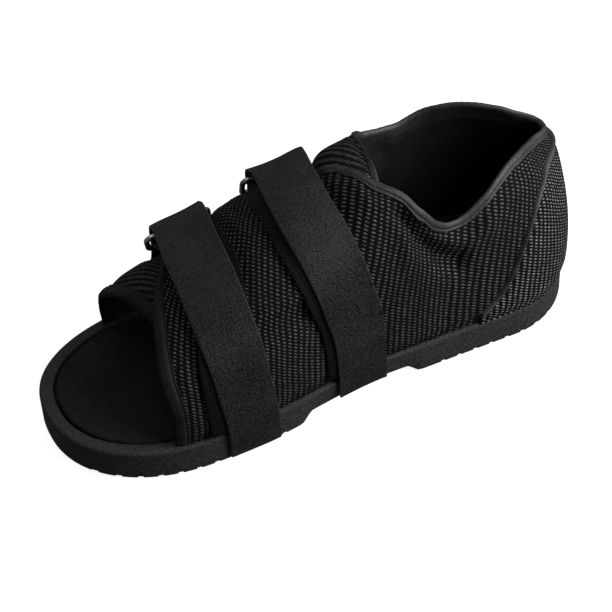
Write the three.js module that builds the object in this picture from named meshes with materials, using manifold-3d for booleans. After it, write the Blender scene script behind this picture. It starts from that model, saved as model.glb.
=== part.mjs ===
// A post-operative shoe: an open-toed walking shoe that opens wide over a bandaged foot.
// A lugged sole carries an insole and a padded mesh upper in one wrap: it starts at the toe opening
// on the strap side, goes round the heel and comes back on the other side, where its two flaps
// overlap over the instep. Two straps run through metal rings and fold back on themselves.
//
// Millimetres, +X towards the toe, +Y towards the side where the straps fasten, +Z up.
// The origin is on the floor under the centre of the rounded heel.

import * as THREE from 'three';
import { mergeVertices } from 'three/addons/utils/BufferGeometryUtils.js';
import Module from 'manifold-3d';

const wasm = await Module();
wasm.setup();

// Driving sizes of the sole
const SOLE_LENGTH = 291;
const HEEL_WIDTH = 88;
const WAIST_WIDTH = 88;
const BALL_WIDTH = 107;
const TOE_WIDTH = 109;
const HEEL_CAP = 46; // length of the rounded heel end
const TOE_CAP = 75; // length of the rounded toe end
const TOE_FULLNESS = 2.3; // 2 is an ellipse, more is squarer
const SOLE_HEIGHT = 18; // floor to the top of the sole's side
const RIM_WIDTH = 7;
const RECESS_DEPTH = 5;
const TOE_SPRING = 2.2;
const HEEL_BEVEL = 1.2;
const ARCH_RISE = 5;
const ARCH_INSET = 1;
const EDGE_RADIUS = 1.6;
const TREAD_PITCH = 9.5;
const TREAD_GAP = 2.8;
const TREAD_DEPTH = 2;

// Driving sizes of the soft pieces
const INSTEP_HEIGHT = 101; // sole edge to the top of the foot form at the instep
const WALL = 2.6; // padded mesh
const SIDE_MARGIN = 0.9; // upper's face to the sole's side
const HEEL_BULGE = 2;
const HEEL_DRAW = 0.065; // share of its reach that the heel loses at the collar
const INSOLE_GROOVE = 1.3;
const INSOLE_EDGE_RADIUS = 1.6;
const COLLAR_TAPE_WIDTH = 4;
const TOE_TAPE_WIDTH = 6;
const TAPE_THICKNESS = 0.6;
const COUNTER_THICKNESS = 1.6;
const PIPING_WIDTH = 3.6;
const STRAP_WIDTH = 28;
const STRAP_THICKNESS = 1.4;
const KEEPER_WIDTH = 25;
const STRAP_FOOT = 3; // sole's underside to the strap's free end
const RING_WIRE = 3; // wire diameter
const RING_PLAY = 2; // room beside the strap in its ring
const RING_DROP = 13; // between the ring's two long bars
const RING_REST = 0.5; // the ring's height above the strap under it
const CLEAR = 0.3; // between pieces that touch

const NEAR = 1; // the side where the straps fasten
const FAR = -1;
const TOE_TIP = SOLE_LENGTH - HEEL_CAP;
const FOOT_INSET = SIDE_MARGIN + WALL; // sole's side to the upper's inner face
const TAPE_BUILD = CLEAR + TAPE_THICKNESS; // what the tape adds to a face
const FLAP_LIFT = WALL + TAPE_BUILD + CLEAR + TAPE_BUILD; // strap-side flap over the other one
const UPPER_FOOT = SOLE_HEIGHT + CLEAR;

// Sole widths; at is a share of the sole's length from the heel
const WIDTHS = [
  { at: 0.0, width: HEEL_WIDTH },
  { at: 0.12, width: HEEL_WIDTH },
  { at: 0.42, width: WAIST_WIDTH },
  { at: 0.68, width: BALL_WIDTH },
  { at: 0.8, width: TOE_WIDTH },
  { at: 1.0, width: TOE_WIDTH * 0.96 },
];

// Sections of the foot form. ridge is its top as a share of INSTEP_HEIGHT; behind 0.36 the collar cuts
// the form open. fullness is 2 for an ellipse and more for a squarer section. pinch is the share of the
// width that the soft heel loses at the collar.
const SECTIONS = [
  { at: 0.0, ridge: 1.5, fullness: 2.3, pinch: 0.64 },
  { at: 0.04, ridge: 1.49, fullness: 2.3, pinch: 0.6 },
  { at: 0.07, ridge: 1.48, fullness: 2.3, pinch: 0.48 },
  { at: 0.105, ridge: 1.47, fullness: 2.3, pinch: 0.35 },
  { at: 0.14, ridge: 1.45, fullness: 2.3, pinch: 0.23 },
  { at: 0.175, ridge: 1.41, fullness: 2.3, pinch: 0.11 },
  { at: 0.21, ridge: 1.35, fullness: 2.3, pinch: 0.02 },
  { at: 0.245, ridge: 1.27, fullness: 2.3, pinch: 0 },
  { at: 0.29, ridge: 1.16, fullness: 2.45, pinch: 0 },
  { at: 0.33, ridge: 1.03, fullness: 2.8, pinch: 0 },
  { at: 0.37, ridge: 0.94, fullness: 2.9, pinch: 0 },
  { at: 0.42, ridge: 0.905, fullness: 2.8, pinch: 0 },
  { at: 0.44, ridge: 0.866, fullness: 2.65, pinch: 0 },
  { at: 0.46, ridge: 0.837, fullness: 2.5, pinch: 0 },
  { at: 0.5, ridge: 0.806, fullness: 2.45, pinch: 0 },
  { at: 0.54, ridge: 0.768, fullness: 2.4, pinch: 0 },
  { at: 0.585, ridge: 0.705, fullness: 2.4, pinch: 0 },
  { at: 0.635, ridge: 0.645, fullness: 2.35, pinch: 0 },
  { at: 0.75, ridge: 0.51, fullness: 2.3, pinch: 0 },
  { at: 0.83, ridge: 0.405, fullness: 2.3, pinch: 0 },
  { at: 1.0, ridge: 0.3, fullness: 2.3, pinch: 0 },
];
const COLLAR_ANGLE = 30; // up to the collar round the heel

// Top edge of the wrap on each side: angle up and over the form, where 90 is the ridge
const TOP_EDGE = {
  [NEAR]: [
    { at: 0.0, angle: 27.5 },
    { at: 0.04, angle: 29.2 },
    { at: 0.1, angle: 31 },
    { at: 0.16, angle: 31.8 },
    { at: 0.21, angle: 31.3 },
    { at: 0.24, angle: 30.8 },
    { at: 0.265, angle: 30.6 },
    { at: 0.285, angle: 31.3 },
    { at: 0.31, angle: 34.6 },
    { at: 0.34, angle: 45.5 },
    { at: 0.363, angle: 60 },
    { at: 0.398, angle: 74.5 },
    { at: 0.42, angle: 86 },
    { at: 0.469, angle: 101 },
    { at: 0.5, angle: 113 },
    { at: 0.54, angle: 123 },
    { at: 0.58, angle: 130 },
    { at: 0.61, angle: 130 },
    { at: 0.65, angle: 123 },
    { at: 0.83, angle: 121 },
  ],
  [FAR]: [
    { at: 0.0, angle: 27.5 },
    { at: 0.04, angle: 30 },
    { at: 0.08, angle: 32.5 },
    { at: 0.14, angle: 33.7 },
    { at: 0.2, angle: 33.7 },
    { at: 0.25, angle: 34.7 },
    { at: 0.29, angle: 37.5 },
    { at: 0.328, angle: 44 },
    { at: 0.345, angle: 53 },
    { at: 0.362, angle: 69 },
    { at: 0.376, angle: 95 },
    { at: 0.392, angle: 112 },
    { at: 0.5, angle: 120 },
    { at: 0.83, angle: 118 },
  ],
};

// Front edge of the wrap at the toe opening, from the sole up over the form
const FRONT_EDGE = {
  [NEAR]: [
    { angle: 0, at: 0.824 },
    { angle: 20, at: 0.822 },
    { angle: 42, at: 0.826 },
    { angle: 55, at: 0.821 },
    { angle: 70, at: 0.808 },
    { angle: 80, at: 0.797 },
    { angle: 90, at: 0.777 },
    { angle: 100, at: 0.75 },
    { angle: 125, at: 0.71 },
  ],
  [FAR]: [
    { angle: 0, at: 0.828 },
    { angle: 45, at: 0.833 },
    { angle: 75, at: 0.813 },
    { angle: 90, at: 0.802 },
    { angle: 120, at: 0.778 },
  ],
};
const SLANT_BACK = 0.5; // behind this share the wrap's stations stand square

const clamp01 = (v) => Math.min(1, Math.max(0, v));
const smooth = (v) => clamp01(v) ** 2 * (3 - 2 * clamp01(v));
const mix = (a, b, k) => a + (b - a) * k;
const radians = (degrees) => (degrees * Math.PI) / 180;

// Smooth curve through a table's rows that never overshoots them
function curve(rows, key, value, place) {
  const last = rows.length - 1;
  if (place <= rows[0][key]) return rows[0][value];
  if (place >= rows[last][key]) return rows[last][value];
  const slope = (i) => (rows[i + 1][value] - rows[i][value]) / (rows[i + 1][key] - rows[i][key]);
  const tangent = (i) => {
    if (i === 0) return slope(0);
    if (i === last) return slope(last - 1);
    const before = slope(i - 1);
    const after = slope(i);
    return before * after <= 0 ? 0 : (2 * before * after) / (before + after);
  };
  const i = rows.findIndex((row, n) => n < last && place <= rows[n + 1][key]);
  const span = rows[i + 1][key] - rows[i][key];
  const u = (place - rows[i][key]) / span;
  return (
    rows[i][value] * (1 + 2 * u) * (1 - u) ** 2 +
    tangent(i) * span * u * (1 - u) ** 2 +
    rows[i + 1][value] * u * u * (3 - 2 * u) +
    tangent(i + 1) * span * u * u * (u - 1)
  );
}

const shareOf = (x) => (x + HEEL_CAP) / SOLE_LENGTH;
const placeOf = (share) => share * SOLE_LENGTH - HEEL_CAP;

// Half the width of the sole's outline at x, drawn in by inset all round
function halfWidth(x, inset) {
  const half = curve(WIDTHS, 'at', 'width', shareOf(x)) / 2 - inset;
  const behind = clamp01(-x / (HEEL_CAP - inset));
  const ahead = clamp01((x - (TOE_TIP - TOE_CAP)) / (TOE_CAP - inset));
  return half * Math.sqrt(1 - behind ** 2) * (1 - ahead ** TOE_FULLNESS) ** (1 / TOE_FULLNESS);
}

// Point of the outline: step runs from 0 at the heel's back to 1 at the toe's tip
function outline(step, inset) {
  const length = SOLE_LENGTH - 2 * inset;
  const x = inset - HEEL_CAP + (length * (1 - Math.cos(Math.PI * step))) / 2;
  return { x, half: halfWidth(x, inset) };
}
const stepAt = (x) => Math.acos(1 - 2 * clamp01((x + HEEL_CAP - FOOT_INSET) / (SOLE_LENGTH - 2 * FOOT_INSET))) / Math.PI;

// The foot form that every soft piece is measured from. Its sections stand square to the length in
// front, and fan out round the heel from points on the centre line.
const FAN_FRONT = placeOf(0.26);
const FAN_SHARE = 0.35;
const HEEL_CURL = 2.2; // how late the heel turns in on its way up
const section = (key, share) => curve(SECTIONS, 'at', key, share);

function form(side, step, angle, out, stiffRidge = null) {
  const foot = outline(step, FOOT_INSET);
  const centre = foot.x >= FAN_FRONT ? foot.x : FAN_FRONT - (FAN_FRONT - foot.x) * FAN_SHARE;
  const across = Math.hypot(foot.x - centre, foot.half);
  const share = shareOf(foot.x);
  const ridge = (stiffRidge ?? section('ridge', share)) * INSTEP_HEIGHT;
  const power = 2 / section('fullness', share);
  const atHeel = smooth((0.3 - share) / 0.3);
  const bulge = HEEL_BULGE * atHeel * Math.sin(Math.PI * clamp01(angle / COLLAR_ANGLE) ** 0.75);
  const drawn = Math.min(angle / COLLAR_ANGLE, 1.2) ** HEEL_CURL;
  const cosine = Math.cos(radians(angle));
  const level = Math.sign(cosine) * Math.abs(cosine) ** power;
  const rise = Math.sin(radians(angle)) ** power;
  const reach = (across + bulge) * level * (1 - HEEL_DRAW * atHeel * drawn) + out * level;
  const width = 1 - section('pinch', share) * drawn * (1 - out / (2 * across));
  return new THREE.Vector3(
    centre + ((foot.x - centre) / across) * reach,
    side * (foot.half / across) * reach * width,
    UPPER_FOOT + (ridge + out) * rise,
  );
}

// How far the strap-side flap stands off the form to clear the flap beneath it
function lift(side, share, angle) {
  if (side === FAR) return 0;
  return FLAP_LIFT * smooth((angle - 12) / 34) * smooth((share - 0.26) / 0.08);
}

// Point of the wrap: front is 0 at the heel's back and 1 at the toe opening, up is 0 at the sole and
// 1 at the top edge, out is measured from the inner face
function wrap(side, front, up, out) {
  const edge = FRONT_EDGE[side];
  const frontStep = stepAt(placeOf(edge[0].at));
  const share = shareOf(outline(frontStep * front, FOOT_INSET).x);
  const angle = up * curve(TOP_EDGE[side], 'at', 'angle', share);
  const slant = (share - SLANT_BACK) / (edge[0].at - SLANT_BACK);
  const slanted = SLANT_BACK + (curve(edge, 'angle', 'at', angle) - SLANT_BACK) * slant;
  const step = slant > 0 ? stepAt(placeOf(slanted)) : frontStep * front;
  return form(side, step, angle, out + lift(side, slant > 0 ? slanted : share, angle));
}

// Meshes

function geometryOf(points, faces) {
  const geometry = new THREE.BufferGeometry();
  const flat = points.flatMap((p) => [p.x, p.y, p.z]);
  geometry.setAttribute('position', new THREE.Float32BufferAttribute(flat, 3));
  geometry.setIndex(faces.flat());
  const merged = mergeVertices(geometry, 1e-4);
  return volumeOf(merged) < 0 ? turnedOut(merged) : merged;
}

function volumeOf(geometry) {
  const p = geometry.attributes.position;
  const index = geometry.index.array;
  const corner = (i) => new THREE.Vector3().fromBufferAttribute(p, index[i]);
  let volume = 0;
  for (let i = 0; i < index.length; i += 3) {
    volume += corner(i).dot(corner(i + 1).cross(corner(i + 2))) / 6;
  }
  return volume;
}

function turnedOut(geometry) {
  const index = geometry.index.array;
  for (let i = 0; i < index.length; i += 3) {
    [index[i], index[i + 1]] = [index[i + 1], index[i]];
  }
  return geometry;
}

// Two triangles for four corners, split along the shorter diagonal
function quad(points, a, b, c, d) {
  const across = points[a].distanceToSquared(points[c]) <= points[b].distanceToSquared(points[d]) + 1e-6;
  return across ? [a, b, c, a, c, d] : [a, b, d, b, c, d];
}

// Solid between two equal grids of points, closed round its four edges
function slab(upper, lower) {
  const rows = upper.length;
  const columns = upper[0].length;
  const points = [...upper.flat(), ...lower.flat()];
  const top = (i, j) => i * columns + j;
  const low = (i, j) => rows * columns + top(i, j);
  const faces = [];
  for (let i = 0; i + 1 < rows; i++) {
    for (let j = 0; j + 1 < columns; j++) {
      faces.push(quad(points, top(i, j), top(i, j + 1), top(i + 1, j + 1), top(i + 1, j)));
      faces.push(quad(points, low(i, j), low(i + 1, j), low(i + 1, j + 1), low(i, j + 1)));
    }
    faces.push(quad(points, top(i + 1, 0), low(i + 1, 0), low(i, 0), top(i, 0)));
    faces.push(quad(points, top(i, columns - 1), low(i, columns - 1), low(i + 1, columns - 1), top(i + 1, columns - 1)));
  }
  for (let j = 0; j + 1 < columns; j++) {
    faces.push(quad(points, top(0, j), low(0, j), low(0, j + 1), top(0, j + 1)));
    faces.push(quad(points, top(rows - 1, j + 1), low(rows - 1, j + 1), low(rows - 1, j), top(rows - 1, j)));
  }
  return geometryOf(points, faces);
}

// Solid swept through closed sections of equal point count; the ends are capped by the given triangles
function sweep(sections, cap = null) {
  const count = sections[0].length;
  const points = sections.flat();
  const faces = [];
  const stretches = cap ? sections.length - 1 : sections.length;
  for (let i = 0; i < stretches; i++) {
    const here = i * count;
    const next = ((i + 1) % sections.length) * count;
    for (let j = 0; j < count; j++) {
      const k = (j + 1) % count;
      faces.push(quad(points, here + j, here + k, next + k, next + j));
    }
  }
  if (cap) {
    const end = (sections.length - 1) * count;
    cap.forEach(([a, b, c]) => faces.push([c, b, a], [end + a, end + b, end + c]));
  }
  return geometryOf(points, faces);
}

// Sole

const OUTLINE_STEPS = 40;

// Ring of points round the outline: inset and height may change along the length
function ring(inset, height) {
  const points = [];
  for (let n = 0; n <= 2 * OUTLINE_STEPS; n++) {
    const step = Math.abs(1 - n / OUTLINE_STEPS);
    if (n === 2 * OUTLINE_STEPS) break;
    const side = n < OUTLINE_STEPS ? NEAR : FAR;
    const plain = outline(step, 0);
    const share = shareOf(plain.x);
    const { x, half } = outline(step, inset(share));
    points.push(new THREE.Vector3(x, side * half, height(share)));
  }
  return points;
}

// Closes a ring that starts at the toe's tip and comes back to it
function ringCap() {
  const count = 2 * OUTLINE_STEPS;
  const faces = [];
  for (let i = 0; i < OUTLINE_STEPS; i++) {
    const a = i;
    const b = i + 1;
    const c = (count - i - 1) % count;
    const d = (count - i) % count;
    if (i > 0) faces.push([a, b, d]);
    if (b !== c) faces.push(i > 0 ? [b, c, d] : [a, b, c]);
  }
  return faces;
}

const FOREFOOT_BACK = 0.597; // where the tread ends under the ball
const HEEL_FRONT = 0.375;
const TREAD_STEP = 0.025; // length of the sloped step into the arch
const archShare = (share) =>
  smooth((share - HEEL_FRONT + TREAD_STEP) / TREAD_STEP) * smooth((FOREFOOT_BACK - share) / TREAD_STEP);

function soleUnder(share) {
  const toe = TOE_SPRING * clamp01((share - 0.84) / 0.16) ** 2;
  const heel = HEEL_BEVEL * clamp01((0.06 - share) / 0.06) ** 2;
  return toe + heel + ARCH_RISE * archShare(share);
}
const soleTop = (share) => SOLE_HEIGHT + TOE_SPRING * clamp01((share - 0.84) / 0.16) ** 2;

function outsole() {
  const recess = (share) => soleTop(share) - RECESS_DEPTH;
  const inset = (base) => (share) => base + ARCH_INSET * archShare(share) * (base === 0 ? 0 : 0.5);
  const waisted = (base) => (share) => base + ARCH_INSET * archShare(share);
  const rings = [
    ring(waisted(EDGE_RADIUS), soleUnder),
    ring(waisted(EDGE_RADIUS * 0.3), (s) => soleUnder(s) + EDGE_RADIUS * 0.5),
    ring(waisted(0), (s) => soleUnder(s) + EDGE_RADIUS * 1.5),
    ring(inset(0), (s) => mix(soleUnder(s), soleTop(s), 0.6)),
    ring(() => 0, (s) => soleTop(s) - EDGE_RADIUS),
    ring(() => EDGE_RADIUS * 0.3, (s) => soleTop(s) - EDGE_RADIUS * 0.4),
    ring(() => EDGE_RADIUS * 0.8, soleTop),
    ring(() => RIM_WIDTH - 0.6, soleTop),
    ring(() => RIM_WIDTH, (s) => soleTop(s) - 0.6),
    ring(() => RIM_WIDTH, recess),
  ];
  return cutTread(sweep(rings, ringCap()));
}

function manifoldOf(geometry) {
  const bare = mergeVertices(geometry, 1e-4);
  return new wasm.Manifold(
    new wasm.Mesh({
      numProp: 3,
      vertProperties: new Float32Array(bare.attributes.position.array),
      triVerts: new Uint32Array(bare.index.array),
    }),
  );
}

function geometryFrom(manifold) {
  const mesh = manifold.getMesh();
  const geometry = new THREE.BufferGeometry();
  geometry.setAttribute('position', new THREE.Float32BufferAttribute(mesh.vertProperties, 3));
  geometry.setIndex([...mesh.triVerts]);
  return geometry;
}

// Cross grooves of the tread. A lug stands on the origin, and the arch has none.
function cutTread(geometry) {
  let body = manifoldOf(geometry);
  const width = Math.max(BALL_WIDTH, TOE_WIDTH, HEEL_WIDTH, WAIST_WIDTH) * 1.2;
  const first = Math.ceil(-HEEL_CAP / TREAD_PITCH);
  const last = Math.floor(TOE_TIP / TREAD_PITCH);
  for (let n = first; n <= last; n++) {
    const x = (n + 0.5) * TREAD_PITCH;
    const inArch = shareOf(x) > HEEL_FRONT - 1.6 * TREAD_STEP && shareOf(x) < FOREFOOT_BACK + 0.6 * TREAD_STEP;
    if (inArch || x < 6 - HEEL_CAP || x > TOE_TIP - 6) continue;
    const groove = new THREE.BoxGeometry(TREAD_GAP, width, 2 * TREAD_DEPTH);
    groove.deleteAttribute('normal');
    groove.deleteAttribute('uv');
    groove.translate(x, 0, soleUnder(shareOf(x)));
    body = body.subtract(manifoldOf(groove));
  }
  return geometryFrom(body);
}

function insole() {
  const inset = RIM_WIDTH + INSOLE_GROOVE;
  const floor = (s) => soleTop(s) - RECESS_DEPTH + CLEAR;
  const top = (s) => soleTop(s) + 0.2;
  const rings = [
    ring(() => inset, floor),
    ring(() => inset, (s) => top(s) - INSOLE_EDGE_RADIUS),
    ring(() => inset + INSOLE_EDGE_RADIUS * 0.35, (s) => top(s) - INSOLE_EDGE_RADIUS * 0.35),
    ring(() => inset + INSOLE_EDGE_RADIUS, top),
  ];
  return sweep(rings, ringCap());
}

// Upper

const COLUMN_STEPS = 26;
const TURN_LIMIT = 7; // degrees the top edge may turn between two columns
const ROWS = 10;

// Columns of the wrap on one side, from the heel's back to the toe opening, closer where the edge turns
function columns(side) {
  const edgeAngle = (front) => {
    const share = shareOf(outline(stepAt(placeOf(FRONT_EDGE[side][0].at)) * front, FOOT_INSET).x);
    return curve(TOP_EDGE[side], 'at', 'angle', share);
  };
  const split = (a, b, depth) => {
    if (depth === 0 || Math.abs(edgeAngle(a) - edgeAngle(b)) < TURN_LIMIT) return [b];
    const middle = (a + b) / 2;
    return [...split(a, middle, depth - 1), ...split(middle, b, depth - 1)];
  };
  const list = [0];
  for (let n = 0; n < COLUMN_STEPS; n++) list.push(...split(n / COLUMN_STEPS, (n + 1) / COLUMN_STEPS, 2));
  const taped = 1 - tapeFront(side, 0.5);
  return [...list.filter((front) => front < taped - 0.008), taped, 1];
}

const allColumns = () => [
  ...columns(NEAR).reverse().map((front) => ({ side: NEAR, front })),
  ...columns(FAR).slice(1).map((front) => ({ side: FAR, front })),
];

// The tape's width as a share of a column's height, widened where the top edge runs steeply
function tapeUp(side, front) {
  const nudge = 0.004;
  const top = wrap(side, front, 1, 0);
  const down = top.clone().sub(wrap(side, front, 0.97, 0));
  const along = wrap(side, Math.min(front + nudge, 1), 1, 0).sub(wrap(side, Math.max(front - nudge, 0), 1, 0));
  const square = Math.sin(down.angleTo(along));
  return (0.03 * COLLAR_TAPE_WIDTH) / (down.length() * Math.max(square, 0.45));
}

// The tape's width at the toe opening as a share of the wrap's length
function tapeFront(side, up) {
  const nudge = 0.02;
  const length = wrap(side, 1, up, 0).distanceTo(wrap(side, 1 - nudge, up, 0));
  return (nudge * TOE_TAPE_WIDTH) / length;
}

const rowsUp = (side, front) => {
  const taped = 1 - tapeUp(side, front);
  return [...Array.from({ length: ROWS }, (_, n) => (taped * n) / (ROWS - 1)), 1];
};

function upper() {
  const face = (out) =>
    allColumns().map(({ side, front }) => rowsUp(side, front).map((up) => wrap(side, front, up, out)));
  return slab(face(WALL), face(0));
}

// A tape's closed section round an edge. at(in, out) gives a point: in is a share of the tape's
// width from the edge inwards, below 0 past the edge.
function tapeSection(width, at) {
  const past = -CLEAR / width;
  const end = -TAPE_BUILD / width;
  return [
    at(1, WALL + CLEAR),
    at(1, WALL + TAPE_BUILD),
    at(0, WALL + TAPE_BUILD),
    at(end, WALL * 0.75),
    at(end, WALL * 0.25),
    at(0, -TAPE_BUILD),
    at(1, -TAPE_BUILD),
    at(1, -CLEAR),
    at(past, -CLEAR),
    at(past, WALL + CLEAR),
  ];
}
const TAPE_CAP = [[0, 1, 9], [1, 2, 9], [2, 3, 9], [3, 4, 9], [4, 8, 9], [4, 5, 8], [5, 6, 8], [6, 7, 8]];

function collarTape() {
  const sections = allColumns().map(({ side, front }) => {
    const width = tapeUp(side, front);
    return tapeSection(COLLAR_TAPE_WIDTH, (inward, out) => wrap(side, front, 1 - width * inward, out));
  });
  return sweep(sections, TAPE_CAP);
}

function toeTape(side) {
  const width = tapeFront(side, 0.5);
  const rows = rowsUp(side, 1).slice(0, -1);
  rows[rows.length - 1] -= (2 * CLEAR * tapeUp(side, 1)) / COLLAR_TAPE_WIDTH;
  const at = (up) => (inward, out) => wrap(side, 1 - width * inward, up, out);
  const sections = rows.map((up) => tapeSection(TOE_TAPE_WIDTH, at(up)));
  return sweep(sections, TAPE_CAP);
}

// Heel counter: a second layer of mesh round the back, with a piped front edge

// Its edge from the sole up to the back seam
const COUNTER_EDGE = [
  { at: 0.0, angle: 23.4 },
  { at: 0.055, angle: 23 },
  { at: 0.08, angle: 21.5 },
  { at: 0.108, angle: 19.3 },
  { at: 0.133, angle: 16 },
  { at: 0.153, angle: 12.5 },
  { at: 0.173, angle: 8 },
  { at: 0.19, angle: 5 },
  { at: 0.21, angle: 2.8 },
  { at: 0.233, angle: 0.9 },
];
const COUNTER_FRONT = COUNTER_EDGE[COUNTER_EDGE.length - 1].at;
const COUNTER_OUT = WALL + CLEAR;

function counterColumns() {
  const steps = 16;
  const last = stepAt(placeOf(COUNTER_FRONT));
  const half = Array.from({ length: steps + 1 }, (_, n) => (last * n) / steps);
  return [
    ...[...half].reverse().map((step) => ({ side: NEAR, step })),
    ...half.slice(1).map((step) => ({ side: FAR, step })),
  ];
}
const counterTop = (step) => curve(COUNTER_EDGE, 'at', 'angle', shareOf(outline(step, FOOT_INSET).x));

function heelCounter() {
  const rows = 8;
  const face = (out) =>
    counterColumns().map(({ side, step }) =>
      Array.from({ length: rows + 1 }, (_, n) => form(side, step, (counterTop(step) * n) / rows, out)),
    );
  return slab(face(COUNTER_OUT + COUNTER_THICKNESS), face(COUNTER_OUT));
}

function counterPiping() {
  const perDegree = (side, step, angle) =>
    form(side, step, angle + 1, COUNTER_OUT).distanceTo(form(side, step, angle, COUNTER_OUT));
  const sections = counterColumns().map(({ side, step }) => {
    const top = counterTop(step);
    const scale = perDegree(side, step, top);
    const at = (past, out) => form(side, step, top + (CLEAR + past) / scale, COUNTER_OUT + out);
    const high = COUNTER_THICKNESS * 1.35;
    return [
      at(0, 0),
      at(0, high * 0.8),
      at(PIPING_WIDTH * 0.3, high),
      at(PIPING_WIDTH * 0.7, high),
      at(PIPING_WIDTH, high * 0.6),
      at(PIPING_WIDTH, 0),
    ];
  });
  return sweep(sections, [[0, 1, 5], [1, 2, 5], [2, 4, 5], [2, 3, 4]]);
}

// Straps

// Where each strap's middle lies up and over the form, as shares of the sole's length: the layer under
// and the layer over it, from the sole to the fold at the ring. lean is how steeply the ring hangs from
// its upper bar, and tilt how far its bars slope towards the toe.
const STRAPS = {
  front: {
    under: [
      { angle: 0, at: 0.72 },
      { angle: 35, at: 0.72 },
      { angle: 60, at: 0.703 },
      { angle: 90, at: 0.685 },
      { angle: 126, at: 0.683 },
    ],
    over: [
      { angle: 0, at: 0.69 },
      { angle: 25, at: 0.7 },
      { angle: 55, at: 0.707 },
      { angle: 85, at: 0.703 },
      { angle: 126, at: 0.683 },
    ],
    lean: 62,
    tilt: 12,
  },
  rear: {
    under: [
      { angle: 0, at: 0.489 },
      { angle: 15, at: 0.492 },
      { angle: 40, at: 0.516 },
      { angle: 70, at: 0.532 },
      { angle: 95, at: 0.53 },
      { angle: 128, at: 0.499 },
    ],
    over: [
      { angle: 0, at: 0.4705 },
      { angle: 12, at: 0.4735 },
      { angle: 30, at: 0.49 },
      { angle: 50, at: 0.506 },
      { angle: 80, at: 0.518 },
      { angle: 128, at: 0.499 },
    ],
    lean: 66,
    tilt: 7,
  },
};
const KEEPER_RISE = STRAP_THICKNESS + CLEAR; // room for the keeper's doubled end
const BAR_RADIUS = RING_WIRE / 2;
const HALF_STRAP = STRAP_THICKNESS / 2;

const BAR_RISE = HALF_STRAP + RING_REST + BAR_RADIUS; // strap's lower layer to the bar, centre to centre
const BAR_COVER = BAR_RADIUS + CLEAR + HALF_STRAP; // bar to the strap folded over it, centre to centre
const TAUT_FROM = 50; // angle above which the top layer runs straight to the ring

// The fold of one strap, on the axis of the ring's upper bar: z is the axis height at x plus across
function foldPlace(strap) {
  const { angle, at } = strap.over[strap.over.length - 1];
  const x = placeOf(at);
  const heelSide = x - STRAP_WIDTH / 2;
  const share = shareOf(heelSide);
  const bar = form(NEAR, stepAt(heelSide), angle, underOut(angle, share) + BAR_RISE);
  const axis = (across) => bar.z - (across + STRAP_WIDTH / 2) * Math.tan(radians(strap.tilt));
  return { x, y: bar.y, axis };
}

// Middle of the strap's lower layer, off the form
function underOut(angle, share) {
  const overTape = TAPE_BUILD * smooth((angle - 20) / 40);
  return WALL + lift(NEAR, share, angle) + CLEAR + overTape + HALF_STRAP;
}

// One strand of the strap at a distance across its width: its middle line in planes square to the length
function strapStrand(strap, across) {
  const fold = foldPlace(strap);
  const layer = (rows, angle, apart) => {
    const x = placeOf(curve(rows, 'angle', 'at', angle)) + across;
    const p = form(NEAR, stepAt(x), angle, underOut(angle, shareOf(x)) + apart);
    return new THREE.Vector3(x, p.y, p.z);
  };
  let turn = 90;
  for (let part = 32; part > 0.02; part /= 2) {
    if (layer(strap.under, turn + part, 0).y > fold.y) turn += part;
  }
  const lower = 15;
  const path = Array.from({ length: lower + 1 }, (_, n) => layer(strap.under, mix(1.2, turn, n / lower), 0));
  const under = path[lower];
  const axis = fold.axis(across);
  const top = new THREE.Vector3(fold.x + across, fold.y, axis + BAR_COVER);
  for (let n = 1; n <= 7; n++) {
    const spin = (Math.PI * n) / 8;
    const tall = n < 4 ? axis - under.z : BAR_COVER;
    path.push(new THREE.Vector3(under.x, fold.y - BAR_COVER * 1.06 * Math.sin(spin), axis - tall * Math.cos(spin)));
  }
  const apart = STRAP_THICKNESS + CLEAR;
  const pulled = top.clone().sub(layer(strap.over, turn, apart));
  const upperRows = 16;
  for (let n = 0; n <= upperRows; n++) {
    const angle = mix(turn, 0, n / upperRows);
    const p = layer(strap.over, angle, apart);
    path.push(p.addScaledVector(pulled, smooth((angle - TAUT_FROM) / (turn - TAUT_FROM))));
  }
  const last = path[path.length - 1];
  const end = soleUnder(strap.over[0].at) + STRAP_FOOT;
  for (let n = 1; n <= 3; n++) {
    path.push(new THREE.Vector3(last.x, last.y, mix(last.z, end, n / 3)));
  }
  return path;
}

// A ribbon as a solid: strands side by side, thickened both ways across their planes
function ribbon(strands, thickness) {
  const faceOf = (sign) =>
    strands.map((path) =>
      path.map((p, n) => {
        const before = path[Math.max(n - 1, 0)];
        const after = path[Math.min(n + 1, path.length - 1)];
        const normal = new THREE.Vector3(0, after.z - before.z, before.y - after.y).normalize();
        return p.clone().addScaledVector(normal, (sign * thickness) / 2);
      }),
    );
  return slab(faceOf(1), faceOf(-1));
}

const spread = (width, count) => Array.from({ length: count }, (_, n) => width * (n / (count - 1) - 0.5));

function strap(strapRow) {
  return ribbon(spread(STRAP_WIDTH, 4).map((across) => strapStrand(strapRow, across)), STRAP_THICKNESS);
}

// Ring: a rounded rectangle of wire, its upper bar inside the strap's fold
function ringFrame(strapRow) {
  const fold = foldPlace(strapRow);
  const lean = radians(strapRow.lean);
  const tilt = radians(strapRow.tilt);
  const along = new THREE.Vector3(Math.cos(tilt), 0, -Math.sin(tilt));
  const outward = new THREE.Vector3(0, -Math.cos(lean), -Math.sin(lean));
  const normal = along.clone().cross(outward).normalize();
  const down = normal.clone().cross(along).normalize();
  const bar = new THREE.Vector3(fold.x, fold.y, fold.axis(0));
  return { fold, along, normal, down, bar };
}

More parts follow.
